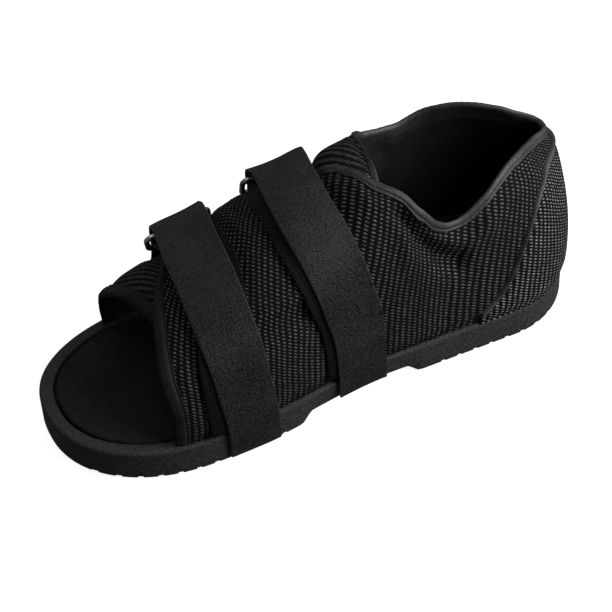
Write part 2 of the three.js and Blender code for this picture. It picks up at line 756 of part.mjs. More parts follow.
function strapRing(strapRow) {
  const { along, normal, down, bar } = ringFrame(strapRow);
  const half = STRAP_WIDTH / 2 + RING_PLAY + BAR_RADIUS;
  const corner = 3;
  const sections = [];
  const corners = [[1, 0], [1, 1], [-1, 1], [-1, 0]];
  corners.forEach(([sideways, low], n) => {
    for (let k = 0; k <= 4; k++) {
      const turn = radians(n * 90 + k * 22.5 - 90);
      const u = sideways * (half - corner) + corner * Math.cos(turn);
      const v = mix(corner, RING_DROP - corner, low) + corner * Math.sin(turn);
      const outward = along.clone().multiplyScalar(Math.cos(turn)).addScaledVector(down, Math.sin(turn));
      const middle = bar.clone().addScaledVector(along, u).addScaledVector(down, v);
      sections.push(
        Array.from({ length: 8 }, (_, m) => {
          const spin = (m * Math.PI) / 4;
          return middle
            .clone()
            .addScaledVector(outward, BAR_RADIUS * Math.cos(spin))
            .addScaledVector(normal, BAR_RADIUS * Math.sin(spin));
        }),
      );
    }
  });
  return sweep(sections);
}

// Keeper: a strip from the sole up the far side, looped round the ring's lower bar
function keeperStrand(strapRow, across) {
  const { fold, along, down, bar } = ringFrame(strapRow);
  const low = bar.clone().addScaledVector(down, RING_DROP);
  const x = fold.x + across;
  low.addScaledVector(along, (x - low.x) / along.x);
  const wall = (angle) => {
    const p = form(FAR, stepAt(x), angle, WALL + CLEAR + HALF_STRAP + KEEPER_RISE * smooth((angle - 15) / 30));
    return new THREE.Vector3(x, p.y, p.z);
  };
  const loop = BAR_RADIUS + CLEAR + HALF_STRAP;
  const points = [1.2, 9, 18, 26, 34].map(wall);
  for (const turn of [200, 160, 120, 80, 40, 0, -40]) {
    const spin = radians(turn);
    points.push(new THREE.Vector3(x, low.y + loop * Math.cos(spin), low.z + loop * Math.sin(spin)));
  }
  const line = new THREE.CatmullRomCurve3(points, false, 'centripetal');
  return line.getPoints(30);
}

function keeper(strapRow) {
  return ribbon(spread(KEEPER_WIDTH, 4).map((across) => keeperStrand(strapRow, across)), STRAP_THICKNESS);
}

// Assembly

const material = (color, roughness, metalness = 0) =>
  new THREE.MeshStandardMaterial({ color: new THREE.Color(...color), roughness, metalness });
const FINISHES = {
  rubber: () => material([0.022, 0.022, 0.023], 0.85),
  insole: () => material([0.012, 0.012, 0.013], 0.9),
  mesh: () => material([0.014, 0.014, 0.015], 0.8),
  tape: () => material([0.03, 0.03, 0.031], 0.6),
  webbing: () => material([0.016, 0.016, 0.017], 0.75),
  steel: () => material([0.5, 0.5, 0.5], 0.3, 1),
};

const shoe = new THREE.Group();
function add(name, geometry, finish) {
  const mesh = new THREE.Mesh(geometry, FINISHES[finish]());
  mesh.name = name;
  shoe.add(mesh);
}

add('outsole', outsole(), 'rubber');
add('insole', insole(), 'insole');
add('upper', upper(), 'mesh');
add('collar_tape', collarTape(), 'tape');
add('toe_tape_near', toeTape(NEAR), 'tape');
add('toe_tape_far', toeTape(FAR), 'tape');
add('heel_counter', heelCounter(), 'mesh');
add('counter_piping', counterPiping(), 'tape');
for (const [name, row] of Object.entries(STRAPS)) {
  add(`${name}_strap`, strap(row), 'webbing');
  add(`${name}_ring`, strapRing(row), 'steel');
  add(`${name}_keeper`, keeper(row), 'webbing');
}

export default shoe;
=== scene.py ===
import math
from math import cos, pi, radians, sin

import bmesh
import bpy
import numpy as np
from mathutils import Matrix, Vector


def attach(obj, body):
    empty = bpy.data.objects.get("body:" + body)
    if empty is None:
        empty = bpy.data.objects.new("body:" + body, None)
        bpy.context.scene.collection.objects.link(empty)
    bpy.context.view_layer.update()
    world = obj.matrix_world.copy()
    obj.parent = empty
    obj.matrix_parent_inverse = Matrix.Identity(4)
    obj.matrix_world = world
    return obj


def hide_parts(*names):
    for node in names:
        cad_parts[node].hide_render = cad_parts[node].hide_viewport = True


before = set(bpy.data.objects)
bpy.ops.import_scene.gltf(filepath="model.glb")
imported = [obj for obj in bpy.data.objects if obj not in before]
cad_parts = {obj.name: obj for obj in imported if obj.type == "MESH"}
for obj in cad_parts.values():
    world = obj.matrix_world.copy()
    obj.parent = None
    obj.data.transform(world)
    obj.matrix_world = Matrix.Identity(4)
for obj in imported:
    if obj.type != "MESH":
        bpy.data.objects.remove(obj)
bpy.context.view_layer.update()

# Sizes of the CAD part, in millimetres
SOLE_LENGTH = 291.0
HEEL_CAP = 46.0
TOE_CAP = 75.0
TOE_FULLNESS = 2.3
SOLE_HEIGHT = 18.0
RIM_WIDTH = 7.0
RECESS_DEPTH = 5.0
TOE_SPRING = 2.2
HEEL_BEVEL = 1.2
ARCH_RISE = 5.0
ARCH_INSET = 1.0
EDGE_RADIUS = 1.6
TREAD_PITCH = 9.5
TREAD_GAP = 2.8
TREAD_DEPTH = 2.0
INSTEP_HEIGHT = 101.0
WALL = 2.6
SIDE_MARGIN = 0.9
HEEL_BULGE = 2.0
HEEL_DRAW = 0.065
INSOLE_GROOVE = 1.3
COLLAR_TAPE_WIDTH = 4.0
TOE_TAPE_WIDTH = 6.0
TAPE_THICKNESS = 0.6
COUNTER_THICKNESS = 1.6
STRAP_WIDTH = 28.0
STRAP_THICKNESS = 1.4
KEEPER_WIDTH = 25.0
STRAP_FOOT = 3.0
RING_WIRE = 3.0
RING_PLAY = 2.0
RING_DROP = 13.0
RING_REST = 0.5
CLEAR = 0.3
NEAR, FAR = 1, -1
TOE_TIP = SOLE_LENGTH - HEEL_CAP
FOOT_INSET = SIDE_MARGIN + WALL
TAPE_BUILD = CLEAR + TAPE_THICKNESS
FLAP_LIFT = WALL + TAPE_BUILD + CLEAR + TAPE_BUILD
UPPER_FOOT = SOLE_HEIGHT + CLEAR
COLLAR_ANGLE = 30.0
SLANT_BACK = 0.5
HEEL_CURL = 2.2
FAN_SHARE = 0.35
BAR_RADIUS = RING_WIRE / 2
HALF_STRAP = STRAP_THICKNESS / 2
BAR_RISE = HALF_STRAP + RING_REST + BAR_RADIUS
KEEPER_RISE = STRAP_THICKNESS + CLEAR
TAUT_FROM = 50.0
FOLD_REACH = 3.3  # how far a strap's loose fold stands out past its ring's bar
MM = 0.001

# Places along the sole, as shares of its length
ARCH_FROM, ARCH_TO, ARCH_RAMP = 0.375, 0.597, 0.025
TOE_RISE_FROM, TOE_RISE_SHARE = 0.84, 0.16
BEVEL_SHARE = 0.06


class Table:
    """Smooth curve through rows of (place, value) that never overshoots them."""

    def __init__(self, *rows):
        self.x, self.y = np.array(rows, float).T
        slope = np.diff(self.y) / np.diff(self.x)
        before, after = slope[:-1], slope[1:]
        total = np.where(before + after == 0, 1, before + after)
        inner = np.where(before * after <= 0, 0, 2 * before * after / total)
        self.tangent = np.concatenate([slope[:1], inner, slope[-1:]])

    def __call__(self, place):
        place = np.clip(place, self.x[0], self.x[-1])
        i = np.clip(np.searchsorted(self.x, place, side="right") - 1, 0, len(self.x) - 2)
        span = self.x[i + 1] - self.x[i]
        u = (place - self.x[i]) / span
        return (
            self.y[i] * (1 + 2 * u) * (1 - u) ** 2
            + self.tangent[i] * span * u * (1 - u) ** 2
            + self.y[i + 1] * u * u * (3 - 2 * u)
            + self.tangent[i + 1] * span * u * u * (u - 1)
        )


# Shape of the foot form by share of the length: the sole's width, the ridge's height as a share of the
# instep's, how square the section is and how far its top is drawn in
WIDTHS = Table((0, 88), (0.12, 88), (0.42, 88), (0.68, 107), (0.8, 109), (1, 109 * 0.96))
RIDGE = Table(
    (0, 1.5), (0.04, 1.49), (0.07, 1.48), (0.105, 1.47), (0.14, 1.45), (0.175, 1.41), (0.21, 1.35),
    (0.245, 1.27), (0.29, 1.16), (0.33, 1.03), (0.37, 0.94), (0.42, 0.905), (0.44, 0.866), (0.46, 0.837),
    (0.5, 0.806), (0.54, 0.768), (0.585, 0.705), (0.635, 0.645), (0.75, 0.51), (0.83, 0.405), (1, 0.3),
)
FULLNESS = Table(
    (0, 2.3), (0.245, 2.3), (0.29, 2.45), (0.33, 2.8), (0.37, 2.9), (0.42, 2.8), (0.44, 2.65), (0.46, 2.5),
    (0.5, 2.45), (0.54, 2.4), (0.585, 2.4), (0.635, 2.35), (0.75, 2.3), (1, 2.3),
)
PINCH = Table(
    (0, 0.64), (0.04, 0.6), (0.07, 0.48), (0.105, 0.35), (0.14, 0.23), (0.175, 0.11), (0.21, 0.02),
    (0.245, 0), (1, 0),
)
# Edges of the wrap: angle of the top by share of the length, and share of the toe opening by angle
TOP_EDGE = {
    NEAR: Table(
        (0, 27.5), (0.04, 29.2), (0.1, 31), (0.16, 31.8), (0.21, 31.3), (0.24, 30.8), (0.265, 30.6),
        (0.285, 31.3), (0.31, 34.6), (0.34, 45.5), (0.363, 60), (0.398, 74.5), (0.42, 86), (0.469, 101),
        (0.5, 113), (0.54, 123), (0.58, 130), (0.61, 130), (0.65, 123), (0.83, 121),
    ),
    FAR: Table(
        (0, 27.5), (0.04, 30), (0.08, 32.5), (0.14, 33.7), (0.2, 33.7), (0.25, 34.7), (0.29, 37.5),
        (0.328, 44), (0.345, 53), (0.362, 69), (0.376, 95), (0.392, 112), (0.5, 120), (0.83, 118),
    ),
}
FRONT_EDGE = {
    NEAR: Table(
        (0, 0.824), (20, 0.822), (42, 0.826), (55, 0.821), (70, 0.808), (80, 0.797), (90, 0.777),
        (100, 0.75), (125, 0.71),
    ),
    FAR: Table((0, 0.828), (45, 0.833), (75, 0.813), (90, 0.802), (120, 0.778)),
}
FRONT_START = {NEAR: 0.824, FAR: 0.828}
COUNTER_EDGE = Table(
    (0, 23.4), (0.055, 23), (0.08, 21.5), (0.108, 19.3), (0.133, 16), (0.153, 12.5), (0.173, 8),
    (0.19, 5), (0.21, 2.8), (0.233, 0.9),
)
COUNTER_FRONT = 0.233
# Where each strap's middle lies on the form, by angle. lean and tilt place its ring, in degrees. In
# millimetres, sink is how deep the taut strap presses the padding in at its heel side and its toe side,
# and loop the height of its loose fold above the ring's bar.
STRAPS = {
    "front": {
        "under": Table((0, 0.72), (35, 0.72), (60, 0.703), (90, 0.685), (126, 0.683)),
        "over": Table((0, 0.69), (25, 0.7), (55, 0.707), (85, 0.703), (126, 0.683)),
        "fold": (126.0, 0.683), "foot": 0.69, "lean": 66.0, "tilt": 12.0, "sink": (1.8, 1.6), "loop": 5.6,
    },
    "rear": {
        "under": Table((0, 0.489), (15, 0.492), (40, 0.516), (70, 0.532), (95, 0.53), (128, 0.499)),
        "over": Table((0, 0.4705), (12, 0.4735), (30, 0.49), (50, 0.506), (80, 0.518), (128, 0.499)),
        "fold": (128.0, 0.499), "foot": 0.4705, "lean": 68.0, "tilt": 4.0, "sink": (3.2, 1.0), "loop": 5.0,
    },
}


def clamp01(v):
    return np.clip(v, 0, 1)


def smooth(v):
    v = clamp01(v)
    return v * v * (3 - 2 * v)


def mix(a, b, k):
    return a + (b - a) * k


def share_of(x):
    return (x + HEEL_CAP) / SOLE_LENGTH


def place_of(share):
    return share * SOLE_LENGTH - HEEL_CAP


def half_width(x, inset):
    half = WIDTHS(share_of(x)) / 2 - inset
    behind = clamp01(-x / (HEEL_CAP - inset))
    ahead = clamp01((x - (TOE_TIP - TOE_CAP)) / (TOE_CAP - inset))
    return half * np.sqrt(1 - behind**2) * (1 - ahead**TOE_FULLNESS) ** (1 / TOE_FULLNESS)


def outline(step, inset):
    x = inset - HEEL_CAP + (SOLE_LENGTH - 2 * inset) * (1 - np.cos(np.pi * step)) / 2
    return x, half_width(x, inset)


def step_at(x):
    length = SOLE_LENGTH - 2 * FOOT_INSET
    return np.arccos(1 - 2 * clamp01((x + HEEL_CAP - FOOT_INSET) / length)) / np.pi


FAN_FRONT = place_of(0.26)


def form(side, step, angle, out):
    """Point of the foot form, in millimetres. Angle goes up and over, and 90 is the ridge."""
    x, half = outline(step, FOOT_INSET)
    centre = np.where(x >= FAN_FRONT, x, FAN_FRONT - (FAN_FRONT - x) * FAN_SHARE)
    across = np.maximum(np.hypot(x - centre, half), 1e-9)
    share = share_of(x)
    power = 2 / FULLNESS(share)
    at_heel = smooth((0.3 - share) / 0.3)
    bulge = HEEL_BULGE * at_heel * np.sin(np.pi * clamp01(angle / COLLAR_ANGLE) ** 0.75)
    drawn = np.minimum(angle / COLLAR_ANGLE, 1.2) ** HEEL_CURL
    cosine = np.cos(np.radians(angle))
    level = np.sign(cosine) * np.abs(cosine) ** power
    rise = np.abs(np.sin(np.radians(angle))) ** power
    reach = (across + bulge) * level * (1 - HEEL_DRAW * at_heel * drawn) + out * level
    width = 1 - PINCH(share) * drawn * (1 - out / (2 * across))
    return stacked(
        centre + (x - centre) / across * reach,
        side * half / across * reach * width,
        UPPER_FOOT + (RIDGE(share) * INSTEP_HEIGHT + out) * rise,
    )


def lift(side, share, angle):
    if side == FAR:
        return 0 * share * angle
    return FLAP_LIFT * smooth((angle - 12) / 34) * smooth((share - 0.26) / 0.08)


def wrap_place(side, front, up):
    """Step, share and angle of a point of the wrap."""
    start = FRONT_START[side]
    front_step = step_at(place_of(start))
    share = share_of(outline(front_step * front, FOOT_INSET)[0])
    angle = up * TOP_EDGE[side](share)
    slant = (share - SLANT_BACK) / (start - SLANT_BACK)
    slanted = SLANT_BACK + (FRONT_EDGE[side](angle) - SLANT_BACK) * slant
    step = np.where(slant > 0, step_at(place_of(np.where(slant > 0, slanted, 0.5))), front_step * front)
    return step, np.where(slant > 0, slanted, share), angle


def wrap(side, front, up, out):
    step, share, angle = wrap_place(side, front, up)
    return form(side, step, angle, out + lift(side, share, angle))


def tape_up(side, front):
    """The collar tape's width as a share of the wrap's height in this column."""
    nudge, drop = 0.004, 0.03
    top = wrap(side, front, 1.0, 0.0)
    down = top - wrap(side, front, 1 - drop, 0.0)
    ahead, behind = np.minimum(front + nudge, 1), np.maximum(front - nudge, 0)
    along = wrap(side, ahead, 1.0, 0.0) - wrap(side, behind, 1.0, 0.0)
    size = np.linalg.norm(down, axis=-1)
    cosine = (down * along).sum(-1) / (size * np.linalg.norm(along, axis=-1))
    square = np.sqrt(1 - np.clip(cosine, -1, 1) ** 2)
    return drop * COLLAR_TAPE_WIDTH / (size * np.maximum(square, 0.45))


def tape_front(side, up):
    """The toe tape's width as a share of the wrap's length at this height."""
    nudge = 0.02
    length = np.linalg.norm(wrap(side, 1.0, up, 0.0) - wrap(side, 1 - nudge, up, 0.0), axis=-1)
    return nudge * TOE_TAPE_WIDTH / length


def wobble(*waves):
    """Sum of slow waves of (value, size): a fixed unevenness."""
    return sum(size * np.sin(value) for value, size in waves)


def stacked(*parts):
    return np.stack(np.broadcast_arrays(*parts), -1)


# Meshes


def add(name, data):
    obj = bpy.data.objects.new(name, data)
    bpy.context.scene.collection.objects.link(obj)
    return obj


def quads(rows, columns, start=0, close_rows=False, close_columns=False):
    """Faces of a grid of points laid out row by row."""
    i = np.arange(rows if close_rows else rows - 1)
    j = np.arange(columns if close_columns else columns - 1)
    i, j = np.meshgrid(i, j, indexing="ij")
    k, m = (i + 1) % rows, (j + 1) % columns
    corners = [i * columns + j, i * columns + m, k * columns + m, k * columns + j]
    return np.stack(corners, -1).reshape(-1, 4) + start


def mesh_piece(name, points, faces, nodes, paints, uv=None, paint_of=None):
    """A smooth-shaded piece from points in millimetres, riding on the one body."""
    mesh = bpy.data.meshes.new(name)
    places = (np.asarray(points).reshape(-1, 3) * MM).tolist()
    mesh.from_pydata(places, [], [list(map(int, f)) for f in faces])
    if paint_of is not None:
        mesh.polygons.foreach_set("material_index", np.asarray(paint_of, np.int32))
    if uv is not None:
        layer = mesh.uv_layers.new(name="cloth")
        corner = np.zeros(len(mesh.loops), np.int32)
        mesh.loops.foreach_get("vertex_index", corner)
        layer.data.foreach_set("uv", np.asarray(uv, np.float32).reshape(-1, 2)[corner].ravel())
    for paint in paints:
        mesh.materials.append(paint)
    bm = bmesh.new()
    bm.from_mesh(mesh)
    bmesh.ops.remove_doubles(bm, verts=bm.verts, dist=1e-7)
    bmesh.ops.recalc_face_normals(bm, faces=bm.faces)
    bm.to_mesh(mesh)
    bm.free()
    mesh.polygons.foreach_set("use_smooth", np.ones(len(mesh.polygons), bool))
    mesh.update()
    obj = add(name, mesh)
    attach(obj, "root")
    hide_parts(*nodes)
    return obj


def slab(upper, lower):
    """Faces of the solid between two equal grids of points, closed round its edges, and their kind:
    0 upper face, 1 lower face, 2 rim."""
    rows, columns = upper.shape[:2]
    size = rows * columns
    top, low = quads(rows, columns), quads(rows, columns, size)[:, ::-1]
    i, j = np.arange(rows - 1), np.arange(columns - 1)
    rims = [
        np.stack([i * columns, i * columns + size, (i + 1) * columns + size, (i + 1) * columns], -1),
        np.stack([i * columns, (i + 1) * columns, (i + 1) * columns + size, i * columns + size], -1)
        + columns - 1,
        np.stack([j, j + 1, j + 1 + size, j + size], -1),
        np.stack([j, j + size, j + 1 + size, j + 1], -1) + (rows - 1) * columns,
    ]
    faces = np.concatenate([top, low, *rims])
    kind = np.full(len(faces), 2)
    kind[: len(top)] = 0
    kind[len(top) : 2 * len(top)] = 1
    return np.concatenate([upper.reshape(-1, 3), lower.reshape(-1, 3)]), faces, kind


def lengths(points, axis):
    """Distance run along an axis of a grid of points."""
    steps = np.linalg.norm(np.diff(points, axis=axis), axis=-1)
    zero = np.zeros_like(np.take(steps, [0], axis=axis))
    return np.concatenate([zero, np.cumsum(steps, axis=axis)], axis=axis)


def tube_piece(name, node, grid, middle, paint):
    """A capped tube through a grid of points, one ring a row. Its cloth map holds the distance run along
    its middle line and a step for each point round it."""
    rows, count = grid.shape[:2]
    faces = [list(f) for f in quads(rows, count, close_columns=True)]
    faces.append(list(range(count))[::-1])
    faces.append([(rows - 1) * count + i for i in range(count)])
    along = lengths(grid[:, middle], 0)
    uv = stacked(along[:, None] / 10, np.arange(count)[None, :] * 0.05)
    mesh_piece(name, grid, faces, [node], [paint], uv=uv)


# Materials


class Paint:
    """One node material, built by short calls. Each call returns the socket that holds its result."""

    def __init__(self, name, **settings):
        self.material = bpy.data.materials.new(name)
        self.material.use_nodes = True
        self.tree = self.material.node_tree
        self.surface = self.tree.nodes["Principled BSDF"]
        for key, value in settings.items():
            self.surface.inputs[key.replace("_", " ")].default_value = value

    def node(self, kind, output=0, props=None, **inputs):
        made = self.tree.nodes.new("ShaderNode" + kind)
        for key, value in (props or {}).items():
            setattr(made, key, value)
        for key, value in inputs.items():
            place = int(key[1:]) if key[1:].isdigit() else key
            self.put(made.inputs[place], value)
        return made.outputs[output]

    def put(self, socket, value):
        if isinstance(value, bpy.types.NodeSocket):
            self.tree.links.new(value, socket)
        else:
            socket.default_value = value

    def math(self, operation, a, b=0.0, c=0.0):
        return self.node("Math", props={"operation": operation}, i0=a, i1=b, i2=c)

    def times(self, a, b):
        return self.math("MULTIPLY", a, b)

    def plus(self, a, b):
        return self.math("ADD", a, b)

    def soft(self, value, low, high, out_low=0.0, out_high=1.0):
        return self.node(
            "MapRange", props={"interpolation_type": "SMOOTHSTEP"},
            i0=value, i1=low, i2=high, i3=out_low, i4=out_high,
        )

    def colour(self, factor, dark, light):
        return self.node("Mix", output=2, props={"data_type": "RGBA"}, i0=factor, i6=dark, i7=light)

    def noise(self, scale, detail=2.0, roughness=0.5):
        place = self.node("TexCoord", output="Object")
        return self.node("TexNoise", Scale=scale, Detail=detail, Roughness=roughness, Vector=place)

    def uv(self):
        split = self.tree.nodes.new("ShaderNodeSeparateXYZ")
        self.put(split.inputs[0], self.node("UVMap", props={"uv_map": "cloth"}))
        return split.outputs[0], split.outputs[1]

    def bump(self, height, distance, strength=1.0):
        return self.node("Bump", Height=height, Distance=distance, Strength=strength)

    def finish(self, **inputs):
        for key, value in inputs.items():
            self.put(self.surface.inputs[key.replace("_", " ")], value)
        return self.material


def grey(value, tint=1.02):
    return (value, value, value * tint, 1.0)


# Pitches in the cloth maps, in centimetres
WEAVE = (0.16, 0.13)
TAPE_RIBS = 0.07
EDGE_HIGHLIGHT_FROM, EDGE_HIGHLIGHT_FULL = 0.13, 0.05  # from the webbing's edge: the band of the painted edge highlight
DASH = (0.34, 0.31)  # half sizes of a dash, as shares of a column and a row


def foam(name, dark, light):
    p = Paint(name, Roughness=0.72, Specular_IOR_Level=0.32)
    fine = p.noise(1300.0, 3.0, 0.7)
    coarse = p.noise(700.0, 2.0, 0.6)
    cells = p.node("TexVoronoi", Vector=p.node("TexCoord", output="Object"), Scale=900.0)
    grain = p.plus(p.times(fine, 0.5), p.times(cells, 0.6))
    mixed = p.plus(p.times(fine, 0.6), p.times(coarse, 0.4))
    speckle = p.soft(mixed, 0.4, 0.66)
    return p.finish(
        Base_Color=p.colour(speckle, grey(dark), grey(light)),
        Roughness=p.soft(coarse, 0.3, 0.7, 0.62, 0.85),
        Normal=p.bump(grain, 0.0005, 0.9),
    )


def pile(name, dark, light, gloss):
    """Cloth with a short nap."""
    p = Paint(name, Roughness=0.9, Specular_IOR_Level=gloss)
    fine = p.noise(900.0, 3.0, 0.7)
    broad = p.noise(45.0, 2.0, 0.5)
    tone = p.plus(p.times(fine, 0.7), p.times(broad, 0.3))
    return p.finish(
        Base_Color=p.colour(p.soft(tone, 0.35, 0.68), grey(dark), grey(light)),
        Normal=p.bump(fine, 0.0004, 0.8),
    )


def webbing(name, dark, light, selvedge, gloss):
    """Loop webbing: a short pile over a fine weave, with a painted highlight as a lighter selvedge."""
    p = Paint(name, Roughness=0.7, Specular_IOR_Level=gloss)
    u, v = p.uv()
    along, across = (p.math("SINE", p.times(way, 2 * pi / pitch)) for way, pitch in zip((u, v), WEAVE))
    weave = p.times(along, across)
    fine = p.noise(1250.0, 1.5, 0.6)
    broad = p.noise(60.0, 2.0, 0.5)
    height = p.plus(p.times(weave, 0.08), fine)
    tone = p.plus(p.times(fine, 0.85), p.times(broad, 0.15))
    half = STRAP_WIDTH / 20
    from_middle = p.math("ABSOLUTE", p.math("SUBTRACT", v, half))
    # A lighter band along both edges: painted highlight on the selvedges.
    edge = p.soft(from_middle, half - EDGE_HIGHLIGHT_FROM, half - EDGE_HIGHLIGHT_FULL)
    pile_colour = p.colour(p.soft(tone, 0.38, 0.64), grey(dark), grey(light))
    return p.finish(
        Base_Color=p.colour(edge, pile_colour, grey(selvedge)),
        Roughness=p.soft(fine, 0.3, 0.7, 0.46, 0.66),
        Normal=p.bump(height, 0.0005, 0.8),
    )


def binding(name, dark, light, gloss=0.4, matt=0.0):
    """Smooth folded tape, finely ribbed across."""
    p = Paint(name, Roughness=0.45, Specular_IOR_Level=gloss)
    ribs = p.math("SINE", p.times(p.uv()[0], 2 * pi / TAPE_RIBS))
    fine = p.noise(900.0, 2.0, 0.6)
    broad = p.noise(70.0, 2.0, 0.5)
    height = p.plus(p.times(ribs, 0.2), p.times(fine, 0.5))
    return p.finish(
        Base_Color=p.colour(p.soft(broad, 0.35, 0.65), grey(dark), grey(light)),
        Roughness=p.soft(fine, 0.3, 0.7, 0.4 + matt, 0.56 + matt),
        Normal=p.bump(height, 0.00016, 0.7),
    )


def spacer_mesh(name, hole, thread, pitch=0.3, row=0.19, slope=0.9):
    """Knitted spacer mesh: columns of short raised dashes, each slanting by a share of a row, with dark
    gaps between. The cloth map is in centimetres."""
    p = Paint(name, Roughness=0.6, Specular_IOR_Level=0.2)
    u, v = p.uv()
    sway = p.noise(45.0, 1.0, 0.4)
    u = p.plus(u, p.times(p.math("SUBTRACT", sway, 0.5), 0.08))
    column = p.math("DIVIDE", u, pitch)
    a = p.math("SUBTRACT", p.math("FRACT", column), 0.5)
    b = p.plus(p.math("DIVIDE", v, row), p.times(a, slope))
    b = p.math("SUBTRACT", p.math("FRACT", b), 0.5)
    across, up = (p.math("DIVIDE", p.math("ABSOLUTE", way), half) for way, half in zip((a, b), DASH))
    dash = p.soft(p.plus(p.math("POWER", across, 2.0), p.math("POWER", up, 2.0)), 1.2, 0.15)
    wear = p.noise(520.0, 2.0, 0.6)
    broad = p.noise(22.0, 2.0, 0.5)
    lit = p.times(dash, p.soft(wear, 0.3, 0.68, 0.3, 1.15))
    lit = p.times(lit, p.soft(broad, 0.3, 0.7, 0.75, 1.1))
    height = p.plus(dash, p.times(p.noise(1600.0, 2.0, 0.6), 0.15))
    return p.finish(
        Base_Color=p.colour(lit, grey(hole), grey(thread)),
        Roughness=p.soft(dash, 0.0, 1.0, 0.95, 0.55),
        Normal=p.bump(height, 0.0005, 0.8),
    )


def steel(name):
    p = Paint(name, Metallic=1.0, Specular_IOR_Level=0.5)
    fine = p.noise(700.0, 3.0, 0.6)
    broad = p.noise(90.0, 2.0, 0.6)
    return p.finish(
        Base_Color=p.colour(p.soft(broad, 0.35, 0.65), grey(0.42), grey(0.6)),
        Roughness=p.soft(fine, 0.3, 0.7, 0.2, 0.34),
        Normal=p.bump(fine, 0.00005, 0.4),
    )


RUBBER = foam("sole_foam", 0.014, 0.048)
INSOLE = pile("insole_cover", 0.013, 0.026, gloss=0.03)
LINING = pile("lining_cloth", 0.013, 0.024, gloss=0.02)
MESH = spacer_mesh("spacer_mesh", 0.0005, 0.108)
# The heel counter's own knit, with its thread painted brighter than the upper's: painted light where the
# key lamp falls on the heel.
COUNTER_MESH_LIT = spacer_mesh("counter_mesh_painted_light", 0.0008, 0.25, pitch=0.33, row=0.18)
TAPE = binding("edge_tape", 0.016, 0.03)
TOE_TAPE = binding("toe_tape", 0.005, 0.013, gloss=0.15, matt=0.2)
# A lighter copy of the edge tape: painted highlight over the whole piping.
PIPING_HIGHLIT = binding("piping_painted_highlight", 0.03, 0.055)
# The third colour is the painted highlight along the strap's selvedges.
WEB = webbing("strap_loop", 0.002, 0.027, 0.07, gloss=0.22)
# A darker, duller copy of the strap webbing: painted shade on the straps' under layers and on the keepers.
WEB_SHADED = webbing("strap_painted_shade", 0.003, 0.009, 0.012, gloss=0.08)
STEEL = steel("ring_steel")


# Sole

QUARTER_TURN = (0, 22, 45, 68, 90)
GROOVE_CLEAR = (0.04, 0.015)  # from the arch to the nearest tread groove, behind and ahead, as shares
GROOVE_FROM_END = 6.0
GROOVE_ACROSS = 0.14  # metres, wider than the sole
SHARP = 34  # degrees from which an edge of the sole isn't smoothed


def arch_share(share):
    return smooth((share - ARCH_FROM + ARCH_RAMP) / ARCH_RAMP) * smooth((ARCH_TO - share) / ARCH_RAMP)


def toe_rise(share):
    return TOE_SPRING * clamp01((share - TOE_RISE_FROM) / TOE_RISE_SHARE) ** 2


def sole_under(share):
    heel = HEEL_BEVEL * clamp01((BEVEL_SHARE - share) / BEVEL_SHARE) ** 2
    return toe_rise(share) + heel + ARCH_RISE * arch_share(share)


def sole_top(share):
    return SOLE_HEIGHT + toe_rise(share)


def ring(inset, height, steps):
    """Ring of points round the outline; inset and height are functions of the share of the length."""
    n = np.arange(2 * steps)
    step = np.abs(1 - n / steps)
    side = np.where(n < steps, NEAR, FAR)
    share = share_of(outline(step, 0)[0])
    x, half = outline(step, inset(share))
    return stacked(x, side * half, height(share))


def flat(base):
    return lambda s: base + 0 * s


def disc(points):
    """Points of a ring drawn in to its centre line in steps, so that it closes with even faces."""
    return [points * [1, k, 1] for k in (0.8, 0.55, 0.3, 0.0)]


def swept(rings):
    """Points and faces of the surface through a stack of rings."""
    count = len(rings[0])
    return np.stack(rings), quads(len(rings), count, close_columns=True)


def outsole():
    def waisted(base, part=1.0):
        return lambda s: base + ARCH_INSET * part * arch_share(s)

    def recess(s):
        return sole_top(s) - RECESS_DEPTH

    steps = 170
    rings = [ring(waisted(EDGE_RADIUS), sole_under, steps)]
    rings = disc(rings[0])[::-1] + rings
    for turn in QUARTER_TURN[1:]:
        k, z = 1 - sin(radians(turn)), 1 - cos(radians(turn))
        above = 1.5 * EDGE_RADIUS * z
        rings.append(ring(waisted(EDGE_RADIUS * k), lambda s, above=above: sole_under(s) + above, steps))
    for k in (0.35, 0.65, 0.9):

        def wall(s, k=k):
            return mix(sole_under(s) + 1.5 * EDGE_RADIUS, sole_top(s) - EDGE_RADIUS, k)

        rings.append(ring(waisted(0, 1 - k), wall, steps))
    for turn in QUARTER_TURN:
        k, z = 1 - cos(radians(turn)), 1 - sin(radians(turn))
        rings.append(ring(flat(EDGE_RADIUS * k), lambda s, z=z: sole_top(s) - EDGE_RADIUS * z, steps))
    rim = ((RIM_WIDTH * 0.5, 0.05), (RIM_WIDTH - 0.9, 0.0), (RIM_WIDTH - 0.35, 0.12), (RIM_WIDTH, 0.7))
    for inset, z in rim:
        rings.append(ring(flat(inset), lambda s, z=z: sole_top(s) - z, steps))
    rings.append(ring(flat(RIM_WIDTH), recess, steps))
    rings += disc(rings[-1])
    points, faces = swept(rings)
    body = mesh_piece("sole", points, faces, ["outsole"], [RUBBER])
    cut_tread(body)
    edges(body, SHARP)


